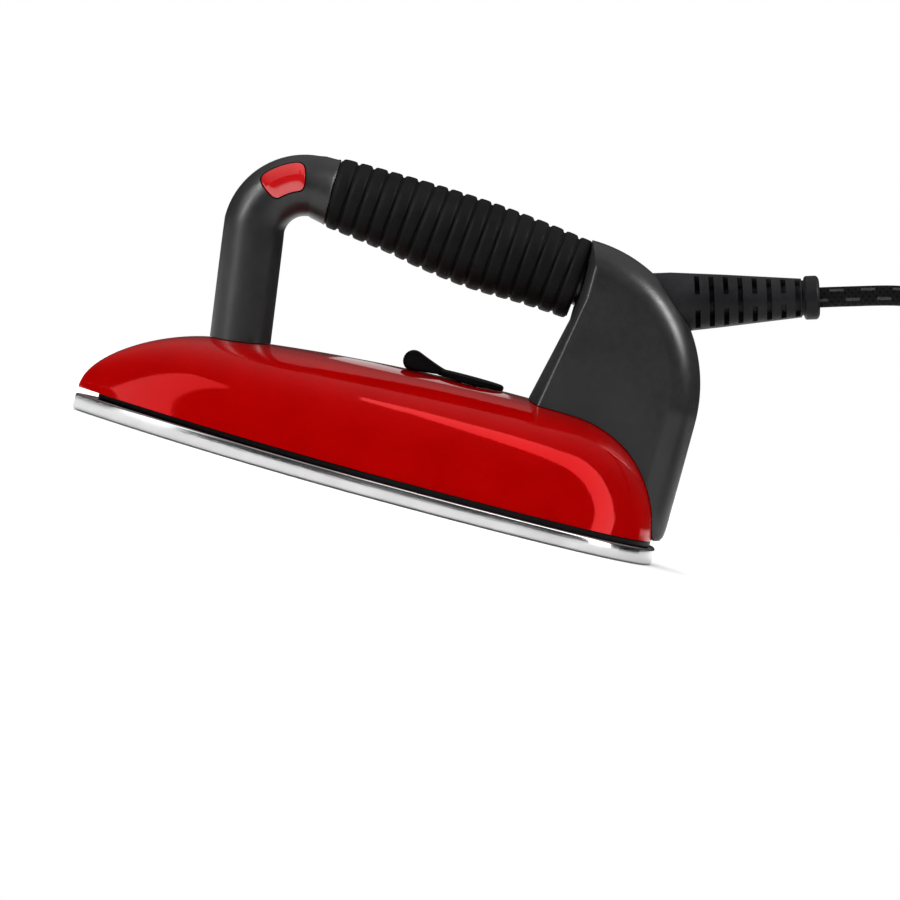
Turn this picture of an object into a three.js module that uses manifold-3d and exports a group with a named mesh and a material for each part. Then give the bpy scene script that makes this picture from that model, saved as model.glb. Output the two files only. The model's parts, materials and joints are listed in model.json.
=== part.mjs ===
// Electric dry iron with a ribbed grip, a temperature lever, a pilot lamp and its mains lead.
// Millimetres. The nose points along -X, the heel along +X, and the user's left is -Y.
// The sole lies on z = 0, and the origin is under the middle of the iron.

import * as THREE from 'three';
import { mergeVertices } from 'three/addons/utils/BufferGeometryUtils.js';
import Module from 'manifold-3d';

const wasm = await Module();
wasm.setup();

// ---------------------------------------------------------------- driving dimensions

const soleLength = 225;
const soleHalfWidth = 54;
const soleThickness = 6.2;
const coverTop = 48;             // height of the cover's crown above the table
const coverWall = 2;
const gripTop = 116.5;           // height of the grip's upper edge at its front
const gripRadius = 16.75;        // at the thickest rib
const postRadius = 11.5;
const ribCount = 17;
const housingWidth = 38;
const housingWall = 2.5;
const leverDiscRadius = 13;
const leverReach = 22.5;         // pivot to the middle of the finger knob
const cordDiameter = 7.6;
const coilMeanRadius = 45;
const plugRadius = 18.5;

const touchGap = 0.3;            // between pieces that rest on each other
const boltClearance = 0.4;       // around a screw or stud in its hole
const heelOverhang = 2;          // the heel stands this far behind the sole

// ---------------------------------------------------------------- places that follow from them

const noseX = -(soleLength + heelOverhang) / 2;
const tailX = noseX + soleLength;
const heelX = tailX + heelOverhang;
const along = (fraction) => noseX + fraction * soleLength;

const skirtBase = soleThickness + touchGap;
const skirtTop = skirtBase + 1.7;
const coverBase = skirtTop + touchGap;
const coverNoseX = noseX + 0.2;
const coverTailX = tailX - 2.1;
const coverHalfWidth = soleHalfWidth - 3;

const postX = along(0.242);
const leverX = along(0.629);
const stackX = along(0.72);
const rearStudX = along(0.868);
const rearStudY = housingWidth / 2 - housingWall - 5.5;
const wirePortX = along(0.913);
const clipX = along(0.133);
const gripFrontX = along(0.329);
const gripRearX = along(0.762);

// ---------------------------------------------------------------- solids

function solid(geometry) {
  const bare = geometry.clone();
  bare.deleteAttribute('normal');
  bare.deleteAttribute('uv');
  const merged = mergeVertices(bare, 1e-4);
  const position = merged.attributes.position;
  const faces = Uint32Array.from(merged.index.array);
  const corner = [new THREE.Vector3(), new THREE.Vector3(), new THREE.Vector3()];
  let volume = 0;
  for (let i = 0; i < faces.length; i += 3) {
    corner.forEach((v, k) => v.fromBufferAttribute(position, faces[i + k]));
    volume += corner[0].dot(corner[1].clone().cross(corner[2]));
  }
  if (volume < 0) {
    for (let i = 0; i < faces.length; i += 3) {
      faces.subarray(i, i + 3).reverse();
    }
  }
  const mesh = new wasm.Mesh({
    numProp: 3,
    vertProperties: Float32Array.from(position.array),
    triVerts: faces,
  });
  return new wasm.Manifold(mesh);
}

function surface(manifold) {
  const mesh = manifold.getMesh();
  const geometry = new THREE.BufferGeometry();
  geometry.setAttribute('position', new THREE.BufferAttribute(mesh.vertProperties, 3));
  geometry.setIndex(new THREE.BufferAttribute(mesh.triVerts, 1));
  geometry.computeVertexNormals();
  return geometry;
}

const join = (first, ...others) => others.reduce((whole, next) => whole.add(next), first);
const cut = (first, ...others) => others.reduce((whole, next) => whole.subtract(next), first);

function block(x0, x1, y0, y1, z0, z1) {
  const geometry = new THREE.BoxGeometry(x1 - x0, y1 - y0, z1 - z0);
  return solid(geometry.translate((x0 + x1) / 2, (y0 + y1) / 2, (z0 + z1) / 2));
}

// Upright cylinder; a second radius makes its top end wider or narrower.
function rod(x, y, z0, z1, radius, sides = 12, topRadius = radius) {
  const geometry = new THREE.CylinderGeometry(topRadius, radius, z1 - z0, sides);
  return solid(geometry.rotateX(Math.PI / 2).translate(x, y, (z0 + z1) / 2));
}

// Cylinder across the iron, along Y.
function crossRod(x, z, y0, y1, radius, sides = 12) {
  const geometry = new THREE.CylinderGeometry(radius, radius, y1 - y0, sides);
  return solid(geometry.translate(x, (y0 + y1) / 2, z));
}

// Plate whose outline is drawn in plan.
function plate(outline, z0, z1, bevel = 0) {
  const geometry = new THREE.ExtrudeGeometry(new THREE.Shape(outline), {
    depth: z1 - z0 - 2 * bevel,
    steps: 1,
    bevelEnabled: bevel > 0,
    bevelSize: bevel,
    bevelThickness: bevel,
    bevelOffset: -bevel,
    bevelSegments: 1,
  });
  return solid(geometry.translate(0, 0, z0 + bevel));
}

// Slab whose outline is drawn from the side, in X and Z, centred on the iron's middle plane.
// outlineAt(inset) gives the outline moved inwards, which rounds the slab's two edges.
function sideSlab(outlineAt, width, round = 0, roundSteps = 1) {
  const edge = [];
  for (let i = roundSteps; i >= 0; i--) {
    const a = (Math.PI / 2) * (i / roundSteps);
    edge.push([round * Math.sin(a) - round + width / 2, round * (1 - Math.cos(a))]);
  }
  const stations = [
    ...edge.map(([y, inset]) => [-y, inset]),
    ...edge.reverse().map(([y, inset]) => [y, inset]),
  ];
  return loft(stations.map(([y, inset]) => (
    outlineAt(inset).map((p) => new THREE.Vector3(p.x, y, p.y))
  )));
}

// Tube along a smooth curve through the given points.
function tube(points, radius, sides = 10, steps = 12) {
  const curve = new THREE.CatmullRomCurve3(points.map((p) => new THREE.Vector3(...p)));
  const circle = [];
  for (let i = 0; i < sides; i++) {
    const a = (2 * Math.PI * i) / sides;
    circle.push(new THREE.Vector2(radius * Math.cos(a), radius * Math.sin(a)));
  }
  return solid(new THREE.ExtrudeGeometry(new THREE.Shape(circle), {
    steps,
    bevelEnabled: false,
    extrudePath: curve,
  }));
}

// Closed body through a row of rings that all have the same number of points.
function loft(rings) {
  const count = rings[0].length;
  const geometry = new THREE.BufferGeometry().setFromPoints(rings.flat());
  const faces = [];
  for (let i = 0; i + 1 < rings.length; i++) {
    for (let j = 0; j < count; j++) {
      const a = i * count + j;
      const b = i * count + ((j + 1) % count);
      faces.push(a, b, b + count, a, b + count, a + count);
    }
  }
  const last = (rings.length - 1) * count;
  for (let j = 1; j + 1 < count; j++) {
    faces.push(0, j + 1, j, last, last + j, last + j + 1);
  }
  return solid(geometry.setIndex(faces));
}

// Ring round a line that runs in the X-Z plane; heading is the line's angle above +X.
function ringAcross(x, z, heading, radius, sides = 18) {
  const ring = [];
  for (let i = 0; i < sides; i++) {
    const a = (2 * Math.PI * i) / sides;
    const rise = radius * Math.cos(a);
    ring.push(new THREE.Vector3(
      x - rise * Math.sin(heading),
      radius * Math.sin(a),
      z + rise * Math.cos(heading),
    ));
  }
  return ring;
}

// Body of revolution about a line in the X-Z plane; profile holds [distance, radius] pairs.
function turned(x, z, heading, profile, sides = 20) {
  return loft(profile.map(([distance, radius]) => ringAcross(
    x + distance * Math.cos(heading),
    z + distance * Math.sin(heading),
    heading,
    radius,
    sides,
  )));
}

const arc = (centreX, centreZ, radiusX, radiusZ, from, to, steps) => (
  Array.from({ length: steps + 1 }, (_, i) => {
    const a = THREE.MathUtils.degToRad(from + ((to - from) * i) / steps);
    return new THREE.Vector2(centreX + radiusX * Math.cos(a), centreZ + radiusZ * Math.sin(a));
  })
);

// ---------------------------------------------------------------- plan of the sole and cover

const widestAt = 0.52;           // fraction of the length at which the iron is widest

// Half width at x of a plan that runs from nose to tail: a pointed arch and a full round tail.
function planHalfWidth(x, nose, tail, halfWidth) {
  const widest = nose + widestAt * (tail - nose);
  if (x < widest) {
    const u = Math.max(0, (x - nose) / (widest - nose));
    return halfWidth * (1 - (1 - u) ** 1.8) ** 0.9;
  }
  const u = Math.min(1, (x - widest) / (tail - widest));
  return halfWidth * (1 - u ** 2.3) ** (1 / 2.3);
}

function planOutline(nose, tail, halfWidth, steps = 20) {
  const side = [];
  for (let i = 1; i < steps; i++) {
    const x = (nose + tail) / 2 - ((tail - nose) / 2) * Math.cos((Math.PI * i) / steps);
    side.push(new THREE.Vector2(x, planHalfWidth(x, nose, tail, halfWidth)));
  }
  const back = side.map((p) => new THREE.Vector2(p.x, -p.y)).reverse();
  return [new THREE.Vector2(nose, 0), ...side, new THREE.Vector2(tail, 0), ...back];
}

// Band of even width along a plan curve.
function band(points, halfWidth, steps = 26) {
  const curve = new THREE.CatmullRomCurve3(points.map(([x, y]) => new THREE.Vector3(x, y, 0)));
  const left = [];
  const right = [];
  for (let i = 0; i <= steps; i++) {
    const p = curve.getPointAt(i / steps);
    const t = curve.getTangentAt(i / steps);
    left.push(new THREE.Vector2(p.x - t.y * halfWidth, p.y + t.x * halfWidth));
    right.push(new THREE.Vector2(p.x + t.y * halfWidth, p.y - t.x * halfWidth));
  }
  return [...left, ...right.reverse()];
}

// ---------------------------------------------------------------- cover's outer form

const noseRound = along(0.211) - coverNoseX;     // length of the rounding at the nose
const tailRound = coverTailX - along(0.811);     // and at the tail
const crownFall = 7.2;                           // the crown is this much lower near the nose

function crownHeight(x) {
  const flat = along(0.722);
  const fall = x < flat ? crownFall * ((flat - x) / (0.489 * soleLength)) ** 2 : 0;
  return coverTop - fall;
}

// The cover's filled outer form, grown by a distance; a negative one gives its hollow.
function coverForm(grow, drop = 0, stations = 16, sides = 12) {
  const nose = coverNoseX - 1.6 * grow;
  const tail = coverTailX + grow;
  const halfWidth = coverHalfWidth + grow;
  const rings = [];
  for (let i = 0; i <= stations; i++) {
    const a = 0.14 + ((Math.PI - 0.28) * i) / stations;
    const reach = Math.cos(a) / Math.cos(0.14);
    const x = (nose + tail) / 2 - ((tail - nose) / 2) * reach * 0.9985;
    const front = Math.max(0, (nose + noseRound - x) / noseRound);
    const rear = Math.max(0, (x - (tail - tailRound)) / tailRound);
    const ends = Math.sqrt(1 - Math.min(1, front) ** 2) * Math.sqrt(1 - Math.min(1, rear) ** 2);
    const height = (crownHeight(x) + grow - coverBase) * ends;
    const width = planHalfWidth(x, nose, tail, halfWidth);
    const ring = [];
    for (let j = 0; j <= sides; j++) {
      const t = (Math.PI * j) / sides;
      const side = Math.sign(Math.cos(t)) * Math.abs(Math.cos(t)) ** (2 / 2.8);
      ring.push(new THREE.Vector3(x, width * side, coverBase + height * Math.sin(t) ** (2 / 2.8)));
    }
    if (drop > 0) {
      ring.push(new THREE.Vector3(x, -width, coverBase - drop));
      ring.push(new THREE.Vector3(x, width, coverBase - drop));
    }
    rings.push(ring);
  }
  return loft(rings);
}

// ---------------------------------------------------------------- sole and heater

const padTop = soleThickness + 1.8;
const heaterRadius = 3.2;
const heaterZ = soleThickness + 1.1 + heaterRadius;
const bossTop = heaterZ + heaterRadius + 0.1;
const heaterPath = [
  [along(0.81), -24], [along(0.6), -28], [along(0.42), -24], [along(0.28), -13],
  [along(0.23), 0],
  [along(0.28), 13], [along(0.42), 24], [along(0.6), 28], [along(0.81), 24],
];

function buildSoleplate() {
  const slab = plate(planOutline(noseX, tailX, soleHalfWidth), 0, soleThickness, 0.7);
  const ridge = plate(band(heaterPath, 6), soleThickness - 1, heaterZ + 0.1);
  const grooveFloor = heaterZ - heaterRadius - touchGap;
  const groove = plate(band(heaterPath, heaterRadius + touchGap), grooveFloor, bossTop);
  const bosses = [-1, 1].map((side) => (
    rod(rearStudX, side * rearStudY, soleThickness - 1, bossTop, 6)
  ));
  const holes = [-1, 1].map((side) => rod(rearStudX, side * rearStudY, 4, 20, 2.5 + boltClearance));
  const pad = block(leverX - 19, stackX + 8, -12, 12, soleThickness - 1, padTop);
  const stackHole = rod(stackX, 0, 4, 20, 1.6 + boltClearance);
  const nosePad = block(clipX - 2, clipX + 10, -6, 6, soleThickness - 1, padTop);
  const noseHole = rod(clipX + 5.5, 0, 4, 20, 1.5 + boltClearance);
  const earthBoss = rod(along(0.93), 0, soleThickness - 1, 10, 4);
  const casting = join(slab, ridge, ...bosses, pad, nosePad, earthBoss);
  return cut(casting, groove, ...holes, stackHole, noseHole);
}

function buildHeatingElement() {
  const path = heaterPath.map(([x, y]) => [x, y, heaterZ]);
  return tube(path, heaterRadius, 8, 26);
}

const terminalX = along(0.81) + touchGap;
const terminalEndX = terminalX + 12;

function buildHeaterTerminal(side) {
  return turnedAlongX(terminalX, side * 24, heaterZ, [[0, 1.4], [9, 1.4], [9.2, 2.2], [12, 2.2]]);
}

function turnedAlongX(x, y, z, profile, sides = 14) {
  const rings = profile.map(([distance, radius]) => (
    ringAcross(x + distance, z, 0, radius, sides).map((p) => p.setY(p.y + y))
  ));
  return loft(rings);
}

function buildSkirt() {
  const outer = plate(planOutline(noseX + 8.5, tailX - 3.2, soleHalfWidth - 4.5), skirtBase, skirtTop);
  const window = plate(planOutline(noseX + 17, tailX - 9, soleHalfWidth - 10), 0, 20);
  return cut(outer, window);
}

function buildBaffle() {
  const sheet = plate(
    planOutline(along(0.142), along(0.78), soleHalfWidth - 17),
    bossTop + touchGap,
    bossTop + touchGap + 0.8,
  );
  const window = block(leverX - 22, along(0.8), -14, 14, 0, 30);
  return cut(sheet, window);
}

// ---------------------------------------------------------------- cover

const recessZ = coverTop - 0.6;          // floor of the shallow dish under the lever
const bushRadius = 5.2;
const nutSeatZ = coverTop + 3;

function buildCover() {
  const shell = cut(coverForm(0), coverForm(-coverWall, 4));
  const lug = block(noseX, clipX - 1, -5, 5, 13, 15).intersect(coverForm(-0.5));
  const recess = rod(leverX, 0, recessZ, coverTop + 5, leverDiscRadius + 0.6, 28);
  const bushHole = rod(leverX, 0, 20, 60, bushRadius + touchGap, 24);
  const screwHole = rod(postX, 0, 20, 60, 2.5 + boltClearance);
  const studHoles = [-1, 1].map((side) => (
    rod(rearStudX, side * rearStudY, 20, 60, 2.5 + boltClearance)
  ));
  const wirePort = rod(wirePortX, 0, 20, 60, 5, 24);
  return cut(join(shell, lug), recess, bushHole, screwHole, ...studHoles, wirePort);
}

function buildNoseClip() {
  const foot = block(clipX, clipX + 9, -5, 5, padTop + touchGap, padTop + 1.5);
  const tab = block(clipX, clipX + 1.2, -5, 5, padTop + touchGap, 16.6);
  const hook = block(clipX - 6, clipX + 1.2, -4, 4, 15.4, 16.6);
  const hole = rod(clipX + 5.5, 0, 0, 12, 1.5 + boltClearance);
  return cut(join(foot, tab, hook), hole);
}

function buildNoseClipScrew() {
  const head = rod(clipX + 5.5, 0, padTop + 1.8, padTop + 3.6, 3, 14);
  return join(head, rod(clipX + 5.5, 0, 4.3, padTop + 2, 1.5, 10));
}

// ---------------------------------------------------------------- handle

const bendRadius = 19.5;
const bendX = postX - 6 + bendRadius;
const bendZ = gripTop - 32;
const coreRadius = 9.5;
const boreRadius = 6.5;
const collarRadius = 12.8;
const gripLength = gripRearX - gripFrontX;

// Grip's middle line and radius: [fraction of its length, height, radius].
const gripStations = [
  [-0.04, gripTop - 13, 0.776], [0.04, gripTop - 13.1, 0.806], [0.3, gripTop - 14.9, 0.905],
  [0.4, gripTop - 16, 0.955], [0.6, gripTop - 17.75, 1], [0.81, gripTop - 19, 0.955],
  [1.0, gripTop - 20.75, 0.91], [1.1, gripTop - 21.6, 0.9],
];
const gripCurve = new THREE.CubicInterpolant(
  gripStations.map((s) => gripFrontX + s[0] * gripLength),
  gripStations.flatMap((s) => [s[1], s[2] * gripRadius]),
  2,
);

function gripAt(x) {
  const [z, radius] = Array.from(gripCurve.evaluate(x));
  const [ahead] = Array.from(gripCurve.evaluate(x + 0.5));
  return { z, radius, heading: Math.atan2(ahead - z, 0.5) };
}

// Rings along the post, round the bend and back along the grip's middle line.
function handleRings(postFrom, endX, radiusAt) {
  const rings = [];
  const sides = 14;
  const lean = Math.atan2(6, bendZ - crownHeight(postX));
  const postBase = crownHeight(postX);
  for (const z of postFrom) {
    const x = postX - (z - postBase) * Math.tan(lean);
    rings.push(ringAcross(x, z, Math.PI / 2 + lean, radiusAt(x, z), sides));
  }
  for (let i = 1; i <= 6; i++) {
    const a = Math.PI - (Math.PI / 2) * (i / 6);
    const x = bendX + bendRadius * Math.cos(a);
    const z = bendZ + bendRadius * Math.sin(a);
    rings.push(ringAcross(x, z, a - Math.PI / 2, radiusAt(x, z), sides));
  }
  for (const x of endX) {
    const at = gripAt(x);
    rings.push(ringAcross(x, at.z, at.heading, radiusAt(x, at.z), sides));
  }
  return rings;
}

const coreEndX = gripRearX + 8.3;
const lensFrom = 104.5;
const lensTo = 146;
const lensLow = -10;
const lensHigh = 48;

// Sector of a ring round the bend, between two radii from its middle line.
function bendSector(from, to, low, high, inner, outer) {
  const rings = [];
  for (let i = 0; i <= 6; i++) {
    const a = THREE.MathUtils.degToRad(from + ((to - from) * i) / 6);
    const ring = [];
    for (let j = 0; j <= 6; j++) {
      const b = THREE.MathUtils.degToRad(low + ((high - low) * j) / 6);
      ring.push([outer * Math.sin(b), -outer * Math.cos(b)]);
    }
    const b0 = THREE.MathUtils.degToRad(high);
    const b1 = THREE.MathUtils.degToRad(low);
    ring.push([inner * Math.sin(b0), -inner * Math.cos(b0)]);
    ring.push([inner * Math.sin(b1), -inner * Math.cos(b1)]);
    rings.push(ring.map(([radial, y]) => new THREE.Vector3(
      bendX + (bendRadius + radial) * Math.cos(a),
      y,
      bendZ + (bendRadius + radial) * Math.sin(a),
    )));
  }
  return loft(rings);
}

function buildHandleTube() {
  const collarX = gripFrontX - 2.4;
  const core = [0.02, 0.2, 0.4, 0.6, 0.8, 0.98].map((f) => gripFrontX + f * gripLength);
  const stations = [
    [collarX - 1, postRadius], [collarX - 0.9, collarRadius], [collarX + 1.6, collarRadius],
    [collarX + 1.7, coreRadius], ...core.map((x) => [x, coreRadius]),
    [gripRearX + 2.2, coreRadius], [gripRearX + 2.3, coreRadius + 2.5],
    [coreEndX, coreRadius + 2.5],
  ];
  const radiusOf = new Map(stations);
  const base = crownHeight(postX);
  const outer = loft(handleRings(
    [base - 7, base + 4, bendZ - 20, bendZ],
    stations.map((s) => s[0]),
    (x, z) => radiusOf.get(x) ?? (z < base + 5 ? postRadius - 0.35 : postRadius),
  ));
  const bore = loft(handleRings(
    [base + 27, bendZ],
    [...core, coreEndX + 3],
    () => boreRadius,
  ));
  const insertBore = rod(postX, 0, base - 9, base + 17, 4.5 + touchGap);
  const pocket = bendSector(lensFrom - 0.8, lensTo + 0.8, lensLow - 1.5, lensHigh + 1.5, 9.9, 14);
  const window = bendSector(lensFrom + 8, lensTo - 8, lensLow + 10, lensHigh - 10, 5, 12);
  return cut(outer, coverForm(touchGap), bore, insertBore, pocket, window);
}

function buildLens() {
  return bendSector(lensFrom, lensTo, lensLow, lensHigh, 9.9 + touchGap, postRadius + 1);
}

function buildGrip() {
  const pitch = gripLength / ribCount;
  const groove = 1.9;
  const depth = 1.1;
  const rings = [];
  const add = (x, sink) => {
    const at = gripAt(x);
    rings.push(ringAcross(x, at.z, at.heading, at.radius - sink, 13));
  };
  for (let i = 0; i < ribCount; i++) {
    const start = gripFrontX + i * pitch;
    add(start, 0);
    add(start + pitch - groove, 0);
    add(start + pitch - groove / 2, depth);
  }
  add(gripRearX, 0);
  const core = [-0.05, 0.2, 0.4, 0.6, 0.8, 1.05].map((f) => {
    const x = gripFrontX + f * gripLength;
    const at = gripAt(x);
    return ringAcross(x, at.z, at.heading, coreRadius + touchGap, 14);
  });
  return cut(loft(rings), loft(core));
}

function buildInsert() {
  const base = crownHeight(postX);
  const barrel = rod(postX, 0, base + 2, base + 16.5, 4.5, 12);
  return cut(barrel, rod(postX, 0, base - 2, base + 14, 2.5 + touchGap));
}

function buildHandleScrew() {
  const under = crownHeight(postX) - coverWall - 1.2;
  const head = rod(postX, 0, under - 4, under - touchGap, 5, 20);
  return join(head, rod(postX, 0, under - 1, under + 15, 2.5, 12));
}

// ---------------------------------------------------------------- rear housing

const housingCentreX = along(0.767);
const housingSideZ = 55;                 // the back is upright below this height
const housingTop = gripTop - 5;
const frontLean = 5.5;                   // the front edge leans back by this much

function housingOutline(inset) {
  const radiusX = heelX - housingCentreX - inset;
  const radiusZ = housingTop - housingSideZ - inset;
  const grip = gripAt(gripRearX);
  const front = gripRearX + touchGap + inset;
  const foot = front - frontLean - 2;
  return [
    new THREE.Vector2(front, grip.z - grip.radius + inset),
    new THREE.Vector2(foot, coverTop - 1),
    new THREE.Vector2(foot + 2, coverTop - 20),
    new THREE.Vector2(tailX - 14, coverBase + 0.2 + inset),
    new THREE.Vector2(heelX - 0.9 - inset, coverBase + 0.2 + inset),
    ...arc(housingCentreX, housingSideZ, radiusX, radiusZ, 0, 88, 9),
    new THREE.Vector2(front + 0.4, housingTop - inset),
  ];
}

const reliefEnd = { x: heelX + 32.5, z: gripTop - 3.7 };
const reliefHeading = THREE.MathUtils.degToRad(17.1);
const reliefRootRadius = 11.3;
const reliefAt = (distance) => ({
  x: reliefEnd.x - distance * Math.cos(reliefHeading),
  z: reliefEnd.z - distance * Math.sin(reliefHeading),
});

const housingScrews = [
  { name: 'upper', x: along(0.915), z: housingTop - 37.5 },
  { name: 'lower', x: along(0.967), z: coverTop - 5 },
];
const clampX = along(0.818);
const cordZ = (x) => reliefEnd.z - (reliefEnd.x - x) * Math.tan(reliefHeading);
const shelfTop = cordZ(clampX) - 5;
const innerLength = (reliefEnd.x - clampX + 0.53) / Math.cos(reliefHeading);

function buildHousing() {
  const shell = sideSlab(housingOutline, housingWidth, 8, 3);
  const hollow = cut(
    sideSlab((inset) => housingOutline(housingWall + inset), housingWidth - 2 * housingWall, 6, 2),
    coverForm(3.4),
  );
  const inside = housingWidth / 2 - housingWall + 0.5;
  const bosses = housingScrews.map(({ x, z }) => crossRod(x, z, -inside, inside, 4));
  const seats = [-1, 1].map((side) => rod(rearStudX, side * rearStudY, 36, nutSeatZ, 5.4));
  const shelf = block(clampX - 1, clampX + 8, -inside, inside, shelfTop - 5, shelfTop);
  const additions = join(...bosses, ...seats, shelf);
  const root = reliefAt(80);
  const reliefHole = turned(root.x, root.z, reliefHeading, [
    [0, reliefRootRadius + touchGap], [60, reliefRootRadius + touchGap],
  ]);
  const collar = gripAt(gripRearX);
  const coreHole = turned(gripRearX - 4, collar.z, collar.heading, [
    [0, coreRadius + 0.6], [5.3, coreRadius + 0.6],
    [5.4, coreRadius + 2.8], [16, coreRadius + 2.8],
  ]);
  const gripEnd = turned(gripRearX - 8, gripAt(gripRearX - 8).z, collar.heading, [
    [0, collar.radius + 0.6], [8 + touchGap, collar.radius + 0.6],
  ]);
  const studHoles = [-1, 1].map((side) => (
    rod(rearStudX, side * rearStudY, 20, 80, 2.5 + boltClearance)
  ));
  const clampHoles = [-1, 1].map((side) => (
    rod(clampX + 3.5, side * 8, shelfTop - 6, shelfTop + 1, 1.5 + boltClearance)
  ));
  const wirePort = rod(wirePortX, 0, 20, 60, 5, 24);
  return cut(
    join(cut(shell, hollow), additions),
    coverForm(touchGap), reliefHole, coreHole, gripEnd, ...studHoles, ...clampHoles, wirePort,
  );
}

const screwHeadY = housingWidth / 2 - 0.6;

function splitHousing(whole) {
  const far = 300;
  const left = whole.intersect(block(-far, far, -far, -0.15, -far, far));
  const right = whole.intersect(block(-far, far, 0.15, far, -far, far));
  const blind = housingScrews.map(({ x, z }) => crossRod(x, z, -11, 1, 1.5 + boltClearance));
  const through = housingScrews.map(({ x, z }) => crossRod(x, z, -1, 40, 1.5 + boltClearance));
  const sunk = housingScrews.map(({ x, z }) => crossRod(x, z, screwHeadY - 3, 40, 3.6));
  return [cut(left, ...blind), cut(right, ...through, ...sunk)];
}

function buildHousingScrew({ x, z }) {
  const head = crossRod(x, z, screwHeadY - 3 + touchGap, screwHeadY, 3.2);
  return join(head, crossRod(x, z, -10, screwHeadY - 1, 1.5));
}

function buildRearStud(side) {
  return rod(rearStudX, side * rearStudY, 4.3, nutSeatZ + 7, 2.5, 14);
}

function buildRearSpacer(side) {
  const y = side * rearStudY;
  const lowest = coverUnderside(rearStudX + 4.5, Math.abs(y) + 4.5);
  const sleeve = rod(rearStudX, y, bossTop + touchGap, lowest - touchGap, 4.4, 16);
  return cut(sleeve, rod(rearStudX, y, 0, 80, 2.5 + boltClearance, 14));
}

function coverUnderside(x, y) {
  const grow = -coverWall;
  const tail = coverTailX + grow;
  const rear = Math.max(0, (x - (tail - tailRound)) / tailRound);
  const width = planHalfWidth(x, coverNoseX - 1.6 * grow, tail, coverHalfWidth + grow);
  const height = (crownHeight(x) + grow - coverBase) * Math.sqrt(1 - rear ** 2);
  return coverBase + height * (1 - (y / width) ** 2.8) ** (1 / 2.8) - 0.3;
}

function buildRearNut(side) {
  const y = side * rearStudY;
  const nut = rod(rearStudX, y, nutSeatZ + touchGap, nutSeatZ + 4.5, 4.6, 6);
  return cut(nut, rod(rearStudX, y, 0, 80, 2.5 + touchGap, 14));
}

// ---------------------------------------------------------------- lead entry

const cordRadius = cordDiameter / 2;

function buildStrainRelief() {
  const length = 66;
  const root = reliefAt(length);
  const profile = [[0, reliefRootRadius], [11, reliefRootRadius], [60.5, 7.2]];
  const radiusAt = (distance) => (
    distance < 11 ? reliefRootRadius : reliefRootRadius - ((distance - 11) / 49.5) * 4.1
  );
  const flange = [[60.6, 8.2], [66, 8.2]];
  const body = turned(root.x, root.z, reliefHeading, [...profile, ...flange], 12);
  const bore = turned(root.x, root.z, reliefHeading, [
    [-2, cordRadius + touchGap], [length + 2, cordRadius + touchGap],
  ], 12);
  const slots = [];
  for (let i = 0; i < 8; i++) {
    const middle = 20.3 + 5.36 * i;
    const radius = radiusAt(middle);
    const full = i % 2 === 1;
    const web = full ? 'y' : 'z';
    slots.push(slotCut(root, middle, radius, web));
  }
  return cut(body, bore, ...slots);
}

// A ring-shaped cut that leaves a core round the bore and two webs, at the sides or above and below.
function slotCut(root, middle, radius, web) {
  const start = {
    x: root.x + (middle - 1) * Math.cos(reliefHeading),
    z: root.z + (middle - 1) * Math.sin(reliefHeading),
  };
  const ring = turned(start.x, start.z, reliefHeading, [[0, radius + 2], [2, radius + 2]], 8);
  const core = turned(start.x, start.z, reliefHeading, [
    [-1, cordRadius + 1.6], [3, cordRadius + 1.6],
  ], 6);
  const reach = radius + 4;
  const slab = web === 'z'
    ? new THREE.BoxGeometry(6, 2 * reach, 3.2)
    : new THREE.BoxGeometry(6, 3.2, 2 * reach);
  slab.rotateY(-reliefHeading).translate(start.x, 0, start.z);
  return cut(ring, core, solid(slab));
}

function buildCordInnerEnd() {
  const root = reliefAt(innerLength);
  const profile = [[0, cordRadius], [innerLength - 0.5, cordRadius]];
  return turned(root.x, root.z, reliefHeading, profile, 12);
}

function buildCordClamp() {
  const bridge = block(clampX, clampX + 7, -11, 11, shelfTop + touchGap, cordZ(clampX) + 8);
  const root = reliefAt(90);
  const passage = turned(root.x, root.z, reliefHeading, [
    [0, cordRadius + touchGap], [40, cordRadius + touchGap],
  ], 12);
  const under = block(clampX - 1, clampX + 8, -cordRadius - touchGap, cordRadius + touchGap,
    shelfTop - 1, cordZ(clampX + 3.5));
  const holes = [-1, 1].map((side) => (
    rod(clampX + 3.5, side * 8, shelfTop - 2, cordZ(clampX) + 9, 1.5 + boltClearance)
  ));
  return cut(bridge, passage, under, ...holes);
}

function buildClampScrew(side) {
  const x = clampX + 3.5;
  const top = cordZ(clampX) + 8;
  const head = rod(x, side * 8, top + touchGap, top + 2.3, 2.8, 14);
  return join(head, rod(x, side * 8, shelfTop - 4.5, top + 1, 1.5, 10));
}

const blockRear = clampX - 0.5;
const blockFront = blockRear - 11.6;
const blockHalfWidth = housingWidth / 2 - housingWall - 4;
const blockTop = nutSeatZ + 11;

function buildTerminalBlock() {
  const half = blockHalfWidth;
  const body = block(blockFront, blockRear, -half, half, nutSeatZ + 0.9, blockTop);
  const wellX = (blockFront + blockRear) / 2 + 2;
  const screwWells = [4.5 - half, 0, half - 4.5].map((y) => (
    rod(wellX, y, blockTop - 4, blockTop + 1, 2)
  ));
  return cut(body, ...screwWells);
}

// ---------------------------------------------------------------- wires

const wireRadius = 0.9;

function buildCordCore(y) {
  const end = reliefAt(innerLength);
  const x = end.x - 0.8;
  const spread = y / 3;
  const halfWay = blockTop + 0.62 * (end.z - 8 - blockTop);
  return tube([
    [x, spread, end.z - 0.2], [x - 1.4, spread, end.z - 2], [x - 1.8, y * 0.6, end.z - 8],
    [blockFront + 3, y, halfWay], [blockFront + 3, y, blockTop + wireRadius],
  ], wireRadius, 6, 8);
}

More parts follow.
